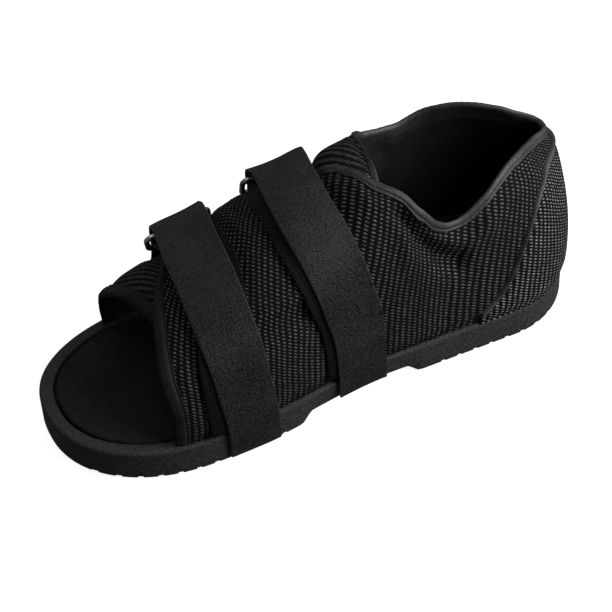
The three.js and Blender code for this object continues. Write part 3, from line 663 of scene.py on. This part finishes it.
def cut_tread(body):
    """Cross grooves under the sole, behind and ahead of the arch."""
    cut = bpy.data.meshes.new("tread_cut")
    bm = bmesh.new()
    for n in range(math.ceil(-HEEL_CAP / TREAD_PITCH), math.floor(TOE_TIP / TREAD_PITCH) + 1):
        x = (n + 0.5) * TREAD_PITCH
        share = share_of(x)
        in_arch = ARCH_FROM - GROOVE_CLEAR[0] < share < ARCH_TO + GROOVE_CLEAR[1]
        if in_arch or x < GROOVE_FROM_END - HEEL_CAP or x > TOE_TIP - GROOVE_FROM_END:
            continue
        z = float(sole_under(share))
        size = Matrix.Diagonal((TREAD_GAP * MM, GROOVE_ACROSS, 2 * TREAD_DEPTH * MM, 1))
        bmesh.ops.create_cube(bm, size=1.0, matrix=Matrix.Translation((x * MM, 0, z * MM)) @ size)
    bm.to_mesh(cut)
    bm.free()
    tool = add("tread_cut", cut)
    modifier = body.modifiers.new("tread", "BOOLEAN")
    modifier.operation, modifier.object, modifier.solver = "DIFFERENCE", tool, "EXACT"
    made = bpy.data.meshes.new_from_object(body.evaluated_get(bpy.context.evaluated_depsgraph_get()))
    body.modifiers.clear()
    body.data = made
    bpy.data.objects.remove(tool)


def edges(obj, degrees):
    """Smooth shading that keeps edges sharper than the angle."""
    mesh = obj.data
    bm = bmesh.new()
    bm.from_mesh(mesh)
    for edge in bm.edges:
        edge.smooth = len(edge.link_faces) == 2 and edge.calc_face_angle(0) < radians(degrees)
    bm.to_mesh(mesh)
    bm.free()
    mesh.polygons.foreach_set("use_smooth", np.ones(len(mesh.polygons), bool))
    mesh.update()


def insole():
    inset = RIM_WIDTH + INSOLE_GROOVE
    radius = 1.6
    steps = 150

    def top(s):
        return sole_top(s) + 0.2

    rings = [ring(flat(inset), lambda s: sole_top(s) - RECESS_DEPTH + CLEAR, steps)]
    rings = disc(rings[0])[::-1] + rings
    for turn in QUARTER_TURN:
        k, z = 1 - cos(radians(turn)), 1 - sin(radians(turn))
        rings.append(ring(flat(inset + radius * k), lambda s, z=z: top(s) - radius * z, steps))
    # a shallow seam inside the bound edge, then the cushion's crown
    for further, z in ((2.6, 0.02), (3.4, -0.35), (4.2, -0.1), (7, 0.1), (12, 0.2)):
        rings.append(ring(flat(inset + further), lambda s, z=z: top(s) + z, steps))
    rings += disc(rings[-1])
    points, faces = swept(rings)
    mesh_piece("insole_pad", points, faces, ["insole"], [INSOLE])


# Upper


def columns(count):
    """Side and front of each column of the wrap, from the near toe opening round to the far one."""
    k = np.linspace(0, 1, count)
    return [(NEAR, 1 - k), (FAR, k[1:])]


def sink(strap, angle, across):
    """How deep the taut strap presses the padding in, in millimetres."""
    heel_side, toe_side = strap["sink"]
    depth = mix(heel_side, toe_side, clamp01(across / STRAP_WIDTH + 0.5))
    return depth * smooth((angle - 50) / 35)


def press(side, share, angle):
    """How far the straps hold the padding flat, 0 to 1, and how deep they press it in."""
    held, sunk = 0 * share * angle, 0 * share * angle
    over = angle if side == NEAR else 180 - angle
    for strap in STRAPS.values():
        for key in ("under", "over"):
            across = (share - strap[key](over)) * SOLE_LENGTH
            near = smooth((STRAP_WIDTH / 2 + PRESS_REACH - np.abs(across)) / PRESS_REACH)
            held = np.maximum(held, near * (side == NEAR))
            sunk = np.maximum(sunk, near * sink(strap, over, across) * smooth((150 - over) / 22))
    return held, sunk


# Troughs and ridges of the wrap as rows of depth and width in millimetres, ridges below 0, and then
# the points of the line, each as share of the length and angle
CREASES = {
    NEAR: [
        (
            6.0, 5.2,
            (0.366, 51), (0.3526, 41.4), (0.3389, 32.4), (0.3236, 26.2), (0.2975, 20.5), (0.276, 18.7),
        ),
        (-2.4, 4.5, (0.3345, 37), (0.3091, 28.2), (0.2765, 23.7), (0.2438, 22.8), (0.215, 24)),
        (
            1.2, 2.4,
            (0.2685, 26.2), (0.2358, 26.4), (0.2061, 27.6), (0.1829, 28.6), (0.1538, 28.9), (0.1161, 28.6),
            (0.06, 27),
        ),
        (-0.8, 4, (0.2, 23.5), (0.16, 25), (0.12, 25), (0.08, 24)),
        (1.3, 8, (0.425, 54), (0.405, 42), (0.40, 34)),
        (-0.7, 3, (0.375, 50), (0.37, 40), (0.372, 28)),
        (-1.5, 2.2, (0.6516, 49.4), (0.6131, 46.9), (0.5827, 45.6), (0.5609, 45.1)),
        (3.2, 6.5, (0.66, 41), (0.6131, 38), (0.575, 36)),
        (1.0, 4, (0.7713, 56.7), (0.7713, 46.4), (0.767, 37.5), (0.7684, 25.7)),
        (0.6, 3, (0.25, 3), (0.245, 9)),
        (0.6, 3, (0.3, 3), (0.298, 10)),
        (0.5, 3, (0.36, 3), (0.362, 11)),
        (0.6, 3.5, (0.615, 3), (0.612, 14)),
    ],
    FAR: [
        (2.2, 5, (0.36, 50), (0.335, 33), (0.3, 22)),
        (1.0, 2.4, (0.27, 30), (0.2, 29.5), (0.12, 28.8), (0.06, 27)),
        (1.2, 6, (0.66, 40), (0.6, 38), (0.55, 36)),
        (0.9, 7, (0.45, 60), (0.43, 30)),
        (0.6, 3, (0.25, 3), (0.245, 9)),
        (0.6, 3.5, (0.33, 3), (0.33, 12)),
    ],
}
DEGREE = 1.25  # millimetres of cloth to one degree up the form, where the creases lie
PINCHED = 0.5  # what each face of the wall gives way under its edge tape
PUFF = 0.75  # how far the mesh stands up between its seams
TUCK, TUCK_HEIGHT = 1.3, 8.0  # how far the wrap turns in at the sole, and over what height
FOOT_DROP, FOOT_HEIGHT = 1.4, 3.0  # how far its foot sits down into the seam, and over what height
PRESS_REACH = 7.0  # how far past a strap's edge the padding is still held down
WRAP_COLUMNS, WRAP_ROWS = 200, 72
MAP_LEVEL = 0.35  # share of the wrap's height at which its cloth map is measured


def tucked(height):
    return TUCK * (1 - smooth(height / TUCK_HEIGHT))


def settle(face, height):
    face[..., 2] -= FOOT_DROP * (1 - smooth(height / FOOT_HEIGHT))


def creases(side, share, angle):
    """How far the creases push the wrap's outer face out, in millimetres."""
    total = 0 * share * angle
    for depth, width, *line in CREASES[side]:
        best = None
        for (s0, a0), (s1, a1) in zip(line, line[1:]):
            along = np.array([(s1 - s0) * SOLE_LENGTH, (a1 - a0) * DEGREE])
            dx, dy = (share - s0) * SOLE_LENGTH, (angle - a0) * DEGREE
            k = clamp01((dx * along[0] + dy * along[1]) / (along @ along))
            away = np.hypot(dx - k * along[0], dy - k * along[1])
            best = away if best is None else np.minimum(best, away)
        total = total - depth * np.exp(-((best / width) ** 2))
    return total


# How much wider than woven the mesh's columns lie, over the length
STRETCH = Table((0, 1.3), (0.12, 1.12), (0.25, 1.38), (0.42, 1.3), (0.6, 1.17), (1, 1.17))


def cloth_run(line, share, run):
    """Distance run along a level line of the wrap, in the mesh's own measure."""
    steps = np.linalg.norm(np.diff(line, axis=0), axis=-1) / STRETCH((share[1:] + share[:-1]) / 2)
    return np.concatenate([[0 * steps[0]], np.cumsum(steps, axis=0)]) + (0 if run is None else run)


def lean_back(height, share):
    """How far the mesh's columns lean towards the heel on their way up, in millimetres."""
    return 0.0023 * height**2 * smooth(share / 0.1)


def upper():
    up = np.linspace(0, 1, WRAP_ROWS)[None, :]
    outer, inner, uvs, run = [], [], [], None
    for side, front in columns(WRAP_COLUMNS):
        front = front[:, None]
        step, share, angle = wrap_place(side, front, up)
        raised = lift(side, share, angle)
        height = lengths(wrap(side, front, up, WALL), 1)
        from_top = (1 - up) / tape_up(side, front) * COLLAR_TAPE_WIDTH
        from_toe = (1 - front) / tape_front(side, 0.5) * TOE_TAPE_WIDTH
        held, sunk = press(side, share, angle)
        sewn = smooth((from_top - COLLAR_TAPE_WIDTH) / 6) * smooth((from_toe - TOE_TAPE_WIDTH) / 7)
        free = sewn * smooth((height - 1) / 7) * (1 - held)
        uneven = wobble((share * 61 + angle * 0.11, 0.12), (share * 37 - angle * 0.23, 0.1))
        puff = PUFF * free + uneven * free
        past_collar = smooth((from_top - COLLAR_TAPE_WIDTH * 0.8) / 7)
        past_toe = smooth((from_toe - TOE_TAPE_WIDTH * 0.8) / 4)
        folds = creases(side, share, angle) * (past_collar * past_toe)
        slack = PINCHED * (1 - np.minimum(smooth((from_top - 3.5) / 4), smooth((from_toe - 5) / 4)))
        tuck = tucked(height)
        out = WALL + puff + folds - slack - sunk - tuck
        inner.append(form(side, step, angle, slack + np.minimum(folds, 0) - sunk - tuck * 0.6 + raised))
        outer.append(form(side, step, angle, out + raised))
        settle(outer[-1], height)
        settle(inner[-1], height)
        level = wrap(side, front, MAP_LEVEL, WALL)
        beside = wrap_place(side, front, MAP_LEVEL)[1]
        along = cloth_run(level, beside, run)
        run = along[-1]
        leant = side * lean_back(height, share) / STRETCH(beside)
        uvs.append(stacked((along - leant) / 10, height / 10))
    outer, inner, uvs = np.concatenate(outer), np.concatenate(inner), np.concatenate(uvs)
    points, faces, kind = slab(outer, inner)
    uv = np.concatenate([uvs.reshape(-1, 2)] * 2)
    mesh_piece(
        "upper_wrap", points, faces, ["upper"], [MESH, LINING], uv=uv,
        paint_of=np.where(kind == 1, 1, 0),
    )


def tape_profile(width):
    """Section of the folded tape as (share of its width from the edge inwards, height off the wall's
    inner face), round the outside and back along the wall. A stitched groove and a thin ridge run along
    its inner border."""
    full = 0.15  # what the folded tape stands off the cloth
    top, low = WALL - PINCHED + TAPE_THICKNESS + full, PINCHED - TAPE_THICKNESS - full
    ridge, dip_edge, groove, plain = (1 - inward / width for inward in (0.6, 0.95, 1.35, 1.75))
    outside = [(1.0, WALL - PINCHED)]
    for a in (0.98, 1 - 0.35 / width, ridge, dip_edge, groove, plain, 0.5, 0.3, 0.12, 0.0):
        crown = 0.3 * sin(pi * min(1, a * 1.1)) if a < groove else 0.0
        dip = 0.42 * math.exp(-(((a - groove) * width / 0.3) ** 2))
        rib = 0.1 * math.exp(-(((a - ridge) * width / 0.3) ** 2))
        outside.append((a, top + crown - dip + rib - 0.15 * float(smooth((0.2 - a) / 0.2))))
    turns = np.radians(np.linspace(90, -90, 9)[1:-1])
    middle, half = (top + low) / 2, (top - low) / 2 - 0.1
    fold = [(-1.25 * TAPE_BUILD / width * cos(t), middle + half * sin(t)) for t in turns]
    reach = 1.4  # how far the inner half runs, as a share of the outer one
    inward = (0.0, 0.3, 0.7, 1.1, 1.35, reach)
    inside = [(a, low - 0.1 * sin(pi * min(1, a / reach))) for a in inward]
    back = [(reach, PINCHED), (0.0, PINCHED + 0.3), (0.0, WALL - PINCHED - 0.3)]
    return outside + fold + inside + back


def tape_piece(name, node, width, place, paint):
    """place(inward, out) gives one point for every station along the tape."""
    grid = np.stack([place(a, b) for a, b in tape_profile(width)], 1)
    tube_piece(name, node, grid, 8, paint)


def outer_half(out):
    """1 on the tape's outer half, -1 on its inner half."""
    return smooth((out - WALL / 2) / 0.5) - smooth((WALL / 2 - out) / 0.5)


def tapes():
    fronts = columns(420)

    def sagged(side, front, up, out):
        step, share, angle = wrap_place(side, front, up)
        sunk = press(side, share, angle)[1]
        return form(side, step, angle, out - sunk + lift(side, share, angle))

    def collar(inward, out):
        parts = []
        for side, front in fronts:
            wider = 0.45 * smooth((front - 0.55) / 0.2) * (side == FAR)
            width = tape_up(side, front) * (1 + wider)
            pucker = wobble((front * 700, 0.04), (front * 401 + 1, 0.04), (front * 97, 0.05))
            parts.append(sagged(side, front, 1 - width * inward, out + outer_half(out) * pucker))
        return np.concatenate(parts)

    tape_piece("collar_binding", "collar_tape", COLLAR_TAPE_WIDTH, collar, TAPE)
    for side, tag in ((NEAR, "near"), (FAR, "far")):
        width = float(tape_front(side, 0.5))
        last = 1 - float(tape_up(side, np.array(1.0))) * 1.1
        up = np.linspace(0, last, 190)

        def toe(inward, out, side=side, width=width, up=up):
            pucker = wobble((up * 130, 0.06), (up * 71 + 2, 0.08), (up * 260, 0.04))
            kink = -0.7 * np.exp(-(((up - 0.35) / 0.02) ** 2)) * (side == NEAR)
            turned = TUCK * (1 - smooth(up / 0.08))
            bent = out + outer_half(out) * (pucker + kink) - turned
            return sagged(side, 1 - width * inward, up, bent)

        tape_piece(f"toe_binding_{tag}", f"toe_tape_{tag}", TOE_TAPE_WIDTH, toe, TOE_TAPE)


COUNTER_OUT = WALL + CLEAR
COUNTER_STEPS, COUNTER_ROWS = 90, 42
COUNTER_LEVEL = 8.0  # degrees up at which the counter's cloth map is measured
# Section of the piping as (distance past the counter's edge, height off its inner face)
PIPING_SECTION = [
    (0.0, -0.3), (0.0, 1.5), (0.25, 1.95), (0.7, 2.1), (1.05, 1.85), (1.25, 1.45), (1.5, 1.9), (1.9, 2.5),
    (2.4, 2.75), (2.9, 2.5), (3.3, 1.8), (3.5, 0.9), (3.6, -0.3),
]


def counter_sides():
    half = step_at(place_of(COUNTER_FRONT)) * np.linspace(0, 1, COUNTER_STEPS)
    return [(NEAR, half[::-1]), (FAR, half[1:])]


def counter():
    k = np.linspace(0, 1, COUNTER_ROWS)[None, :]
    outer, inner, uvs, run = [], [], [], None
    for side, step in counter_sides():
        step = step[:, None]
        share = share_of(outline(step, FOOT_INSET)[0])
        angle = COUNTER_EDGE(share) * k
        high = lengths(form(side, step, angle, COUNTER_OUT), 1)
        edge = smooth((high[:, -1:] - high) / 5) * smooth(high / 4)
        tuck = tucked(high)
        puff = 0.7 * edge + 0.1 * np.sin(step * 70 + angle * 0.4) * edge - tuck
        outer.append(form(side, step, angle, COUNTER_OUT + COUNTER_THICKNESS + puff))
        inner.append(form(side, step, angle, COUNTER_OUT - tuck))
        settle(outer[-1], high)
        settle(inner[-1], high)
        along = lengths(form(side, step, COUNTER_LEVEL, COUNTER_OUT), 0)
        along = along if run is None else run + along
        run = along[-1]
        leant = side * lean_back(high, share)
        uvs.append(stacked((along - leant) / 10, high / 10))
    points, faces = slab(np.concatenate(outer), np.concatenate(inner))[:2]
    uv = np.concatenate([np.concatenate(uvs).reshape(-1, 2)] * 2)
    mesh_piece(
        "heel_cup", points, faces, ["heel_counter"], [COUNTER_MESH_LIT], uv=uv
    )


def piping():
    """Doubled cord along the counter's front and top edge."""
    parts = []
    for side, step in counter_sides():
        top = COUNTER_EDGE(share_of(outline(step, FOOT_INSET)[0]))
        here = form(side, step, top, COUNTER_OUT)
        scale = np.linalg.norm(form(side, step, top + 1, COUNTER_OUT) - here, axis=-1)
        lines = [
            form(side, step, top + (CLEAR + past) / scale, COUNTER_OUT + out)
            for past, out in PIPING_SECTION
        ]
        parts.append(np.stack(lines, 1))
    tube_piece("counter_welt", "counter_piping", np.concatenate(parts), 5, PIPING_HIGHLIT)


# Straps

FOOT_ANGLE = 1.2  # degrees up at which the webbing starts, at the sole
UNDER_STATIONS, FOLD_STATIONS, OVER_STATIONS, TAIL_STATIONS = 70, 24, 90, 14
SHADED_STATIONS = 66  # of the under layer, painted darker as shade under the top layer
LAYER_GAP = 0.1
RING_CORNER = 3.0
WIRE_SIDES = 20
KEEPER_ANGLES = (FOOT_ANGLE, 9, 18, 26, 34)  # where the keeper lies on the far wall
KEEPER_LOOP = (200, 160, 120, 80, 40, 0, -40)  # degrees round the ring's lower bar


def under_out(angle, share):
    return WALL + lift(NEAR, share, angle) + CLEAR + TAPE_BUILD * smooth((angle - 20) / 40) + HALF_STRAP


def fold_place(strap):
    """Where the strap turns round its ring's bar: x and y, and the bar's height across the strap."""
    angle, at = strap["fold"]
    x = place_of(at)
    heel_side = x - STRAP_WIDTH / 2
    out = under_out(angle, share_of(heel_side)) - sink(strap, angle, -STRAP_WIDTH / 2) + BAR_RISE
    bar = form(NEAR, step_at(heel_side), angle, out)
    slope = math.tan(radians(strap["tilt"]))
    return x, float(bar[1]), lambda across: float(bar[2]) - (across + STRAP_WIDTH / 2) * slope


def layer(strap, key, angle, across, apart):
    """Points of a layer of the strap by angle, apart from the layer that lies on the wrap."""
    x = place_of(strap[key](angle)) + across
    out = under_out(angle, share_of(x)) - sink(strap, angle, across) + apart
    p = form(NEAR, step_at(x), angle, out)
    return stacked(x, p[..., 1], p[..., 2])


def strap_strand(strap, across):
    """Middle line of one strand of the strap, in millimetres: under layer, fold and top layer."""
    fold_x, fold_y, axis_of = fold_place(strap)
    turn, part = 90.0, 32.0
    while part > 0.02:
        if layer(strap, "under", turn + part, across, 0.0)[1] > fold_y:
            turn += part
        part /= 2
    lower = layer(strap, "under", np.linspace(FOOT_ANGLE, turn, UNDER_STATIONS), across, 0.0)
    under = lower[-1]
    axis = axis_of(across)
    loop = strap["loop"] + 0.5 * sin(across / 5.0 + strap["tilt"])
    top = np.array([fold_x + across, fold_y, axis + loop])
    spin = np.pi * np.arange(1, FOLD_STATIONS) / FOLD_STATIONS
    tall = np.where(spin < np.pi / 2, axis - under[2], loop)
    reach = FOLD_REACH * np.sin(spin) ** 0.8
    bend = stacked(under[0], fold_y - reach, axis - tall * np.cos(spin))
    apart = STRAP_THICKNESS + LAYER_GAP
    pulled = top - layer(strap, "over", turn, across, apart)
    angle = np.linspace(turn, 0, OVER_STATIONS)
    taut = smooth((angle - TAUT_FROM) / (turn - TAUT_FROM))[:, None]
    upper_run = layer(strap, "over", angle, across, apart) + pulled * taut
    last = upper_run[-1]
    end = float(sole_under(strap["foot"])) + STRAP_FOOT
    k = np.linspace(0, 1, TAIL_STATIONS)[1:, None]
    tail = last * [1, 1, 0] + [0, 0, 1] * mix(last[2], end, k)
    return np.concatenate([lower, bend, upper_run, tail])


def dent(from_edge, place, half_size):
    return np.exp(-(((from_edge - place) / half_size) ** 2))


def ribbon(name, strands, width, node, paints, paint_split=None):
    """A strip of webbing with round edges, a rib along each selvedge and two grooves beside the one at
    the toe side."""
    grid = np.stack(strands)
    along = np.gradient(grid, axis=1)
    normal = stacked(0.0, along[..., 2], -along[..., 1])
    normal /= np.linalg.norm(normal, axis=-1, keepdims=True)
    k = np.linspace(-1, 1, len(strands))[:, None, None]
    from_edge = (1 - np.abs(k)) * width / 2
    body = np.clip(1 - clamp01(1 - from_edge / 0.7) ** 2.5, 0.12, 1)
    toe_side = (k > 0) * 1.0
    ribs = 0.16 * dent(from_edge, 0.8, 0.5)
    groove = (-0.5 * dent(from_edge, 1.9, 0.5) - 0.4 * dent(from_edge, 4.3, 0.5)) * toe_side
    high = grid + normal * (HALF_STRAP * body + ribs + groove)
    low = grid - normal * (HALF_STRAP * body)
    points, faces, kind = slab(high, low)
    uv = stacked(lengths(grid, 1) / 10, (k[..., 0] + 1) * width / 20).reshape(-1, 2)
    paint_of = None if paint_split is None else paint_split(grid, kind)
    mesh_piece(name, points, faces, [node], paints, uv=np.concatenate([uv, uv]), paint_of=paint_of)


def across_of(width):
    """Places across a strap, closer at its edges."""
    k = np.linspace(-1, 1, 33)
    return np.sign(k) * (1 - (1 - np.abs(k)) ** 1.5) * width / 2


def ring_frame(strap):
    """Directions of a ring and the middle of its upper bar: along the bar, off the ring's plane and
    down across it."""
    fold_x, fold_y, axis_of = fold_place(strap)
    lean, tilt = radians(strap["lean"]), radians(strap["tilt"])
    along = Vector((cos(tilt), 0, -sin(tilt)))
    outward = Vector((0, -cos(lean), -sin(lean)))
    normal = along.cross(outward).normalized()
    down = normal.cross(along).normalized()
    return along, normal, down, Vector((fold_x, fold_y, axis_of(0.0)))


def wire_ring(name, strap, node):
    along, normal, down, bar = ring_frame(strap)
    half = STRAP_WIDTH / 2 + RING_PLAY + BAR_RADIUS
    spins = [radians(s * 18) for s in range(WIRE_SIDES)]
    rows = []
    for n, (sideways, low) in enumerate([(1, 0), (1, 1), (-1, 1), (-1, 0)]):
        for k in range(11):
            turn = radians(n * 90 + k * 9 - 90)
            u = sideways * (half - RING_CORNER) + RING_CORNER * cos(turn)
            v = mix(RING_CORNER, RING_DROP - RING_CORNER, low) + RING_CORNER * sin(turn)
            outward = along * cos(turn) + down * sin(turn)
            middle = bar + along * u + down * v
            rows.append([
                list(middle + outward * (BAR_RADIUS * cos(s)) + normal * (BAR_RADIUS * sin(s)))
                for s in spins
            ])
    faces = quads(len(rows), WIRE_SIDES, close_rows=True, close_columns=True)
    mesh_piece(name, np.array(rows), faces, [node], [STEEL])


def keeper_strand(strap, across):
    """Middle line of one strand of a keeper: up the far wall and round the ring's lower bar."""
    along, _, down, bar = ring_frame(strap)
    low = bar + down * RING_DROP
    x = bar.x + across
    low = low + along * ((x - low.x) / along.x)
    points = []
    for angle in KEEPER_ANGLES:
        out = WALL + CLEAR + HALF_STRAP + KEEPER_RISE * float(smooth((angle - 15) / 30))
        points.append(form(FAR, step_at(x), angle, out) * [0, 1, 1] + [x, 0, 0])
    loop = BAR_RADIUS + CLEAR + HALF_STRAP
    for turn in KEEPER_LOOP:
        spin = radians(turn)
        points.append(np.array([x, low.y + loop * cos(spin), low.z + loop * sin(spin)]))
    return centripetal(np.array(points), 10)


def centripetal(points, each):
    """Smooth line through points, evenly rounded where they are unevenly spaced."""
    ends = np.concatenate([[2 * points[0] - points[1]], points, [2 * points[-1] - points[-2]]])
    line = []
    for i in range(1, len(ends) - 2):
        p = ends[i - 1 : i + 3]
        t = np.concatenate([[0], np.cumsum(np.sqrt(np.linalg.norm(np.diff(p, axis=0), axis=1)))])
        for k in np.linspace(0, 1, each, endpoint=False):
            s = mix(t[1], t[2], k)
            a = [((t[j + 1] - s) * p[j] + (s - t[j]) * p[j + 1]) / (t[j + 1] - t[j]) for j in range(3)]
            b = [((t[j + 2] - s) * a[j] + (s - t[j]) * a[j + 1]) / (t[j + 2] - t[j]) for j in range(2)]
            line.append(((t[2] - s) * b[0] + (s - t[1]) * b[1]) / (t[2] - t[1]))
    line.append(points[-1])
    return np.array(line)


def under_painted_shade(grid, kind):
    """Paint of each face of a strap: 1 on its under layer's faces, painted shade in the darker webbing."""
    rows, count = grid.shape[:2]
    under = np.tile(np.arange(count - 1) < SHADED_STATIONS, rows - 1).astype(int)
    return np.concatenate([under, under, np.zeros(len(kind) - 2 * len(under), int)])


def straps():
    for tag, strap in STRAPS.items():
        strands = [strap_strand(strap, a) for a in across_of(STRAP_WIDTH)]
        ribbon(f"{tag}_strap_loop", strands, STRAP_WIDTH, f"{tag}_strap", [WEB, WEB_SHADED], under_painted_shade)
        wire_ring(f"{tag}_wire_ring", strap, f"{tag}_ring")
        strands = [keeper_strand(strap, a) for a in across_of(KEEPER_WIDTH)]
        # The keepers use the darker webbing copy: painted shade.
        ribbon(f"{tag}_ring_keeper", strands, KEEPER_WIDTH, f"{tag}_keeper", [WEB_SHADED])


outsole()
insole()
upper()
tapes()
counter()
piping()
straps()


# Floor, light and camera

FLOOR_REACH = 6.0
WORLD_LIGHT = 0.11
LIT_POINT = Vector((0.09, 0, 0.03))
# Name, direction from the lit point, distance, side and power of each lamp
LAMPS = [
    ("key", (-0.66, 0.56, 0.56), 0.8, 0.6, 8.2),
    ("top", (0.0, -0.1, 1.0), 1.3, 1.3, 3.8),
    ("fill", (0.25, -0.9, 0.35), 1.6, 1.2, 1.4),
]
# Where the camera stands round the aim point, in degrees, and how far off, in metres
AZIMUTH, ELEVATION, ROLL = 23.20, 43.08, -3.20
CAMERA_AIM, CAMERA_AWAY = Vector((0.099, 0, 0.040)), 0.984
# Focal length and where the aim point falls in the picture, in pixels of its width
FOCAL, OFF_X, OFF_Y, PICTURE = 1913.0, 1.4, -16.0, 612.0
SENSOR = 36.0


def set_stage():
    mesh = bpy.data.meshes.new("floor")
    r = FLOOR_REACH
    mesh.from_pydata([(-r, -r, 0), (r, -r, 0), (r, r, 0), (-r, r, 0)], [], [(0, 1, 2, 3)])
    floor = add("floor", mesh)
    p = Paint(
        "floor_white", Roughness=0.9, Specular_IOR_Level=0.1, Base_Color=(0.5, 0.5, 0.5, 1),
        Emission_Color=(1, 1, 1, 1), Emission_Strength=0.9,
    )
    mesh.materials.append(p.material)
    # the floor is white to the eye but throws no light up at the shoe
    floor.visible_diffuse = floor.visible_glossy = False
    world = bpy.data.worlds.new("studio")
    bpy.context.scene.world = world
    world.use_nodes = True
    background = world.node_tree.nodes["Background"].inputs
    background[0].default_value = (1, 1, 1, 1)
    background[1].default_value = WORLD_LIGHT
    for name, way, distance, side, power in LAMPS:
        data = bpy.data.lights.new(name, "AREA")
        data.shape, data.size, data.energy = "SQUARE", side, power
        lamp = add(name, data)
        lamp.location = LIT_POINT + Vector(way).normalized() * distance
        lamp.rotation_mode = "QUATERNION"
        lamp.rotation_quaternion = (LIT_POINT - lamp.location).to_track_quat("-Z", "Y")
    bpy.context.scene.view_settings.view_transform = "Standard"


def set_camera():
    """The photograph's angle to the shoe: fitted to the sole's outline."""
    azimuth, elevation, roll = (radians(v) for v in (AZIMUTH, ELEVATION, ROLL))
    level = cos(elevation)
    back = Vector((sin(azimuth) * level, cos(azimuth) * level, sin(elevation)))
    right = (-back).cross(Vector((0, 0, 1))).normalized()
    up = right.cross(-back)
    right, up = right * cos(roll) + up * sin(roll), up * cos(roll) - right * sin(roll)
    aim = (-back + right * (-OFF_X / FOCAL) + up * (OFF_Y / FOCAL)).normalized()
    up = (up - aim * up.dot(aim)).normalized()
    right = aim.cross(up)
    camera = add("camera", bpy.data.cameras.new("camera"))
    camera.data.sensor_width = SENSOR
    camera.data.lens = FOCAL * SENSOR / PICTURE
    camera.data.clip_start, camera.data.clip_end = 0.05, 20.0
    camera.rotation_mode = "QUATERNION"
    camera.rotation_quaternion = Matrix((right, up, -aim)).transposed().to_quaternion()
    camera.location = CAMERA_AIM + back * CAMERA_AWAY
    bpy.context.scene.camera = camera


set_stage()
set_camera()
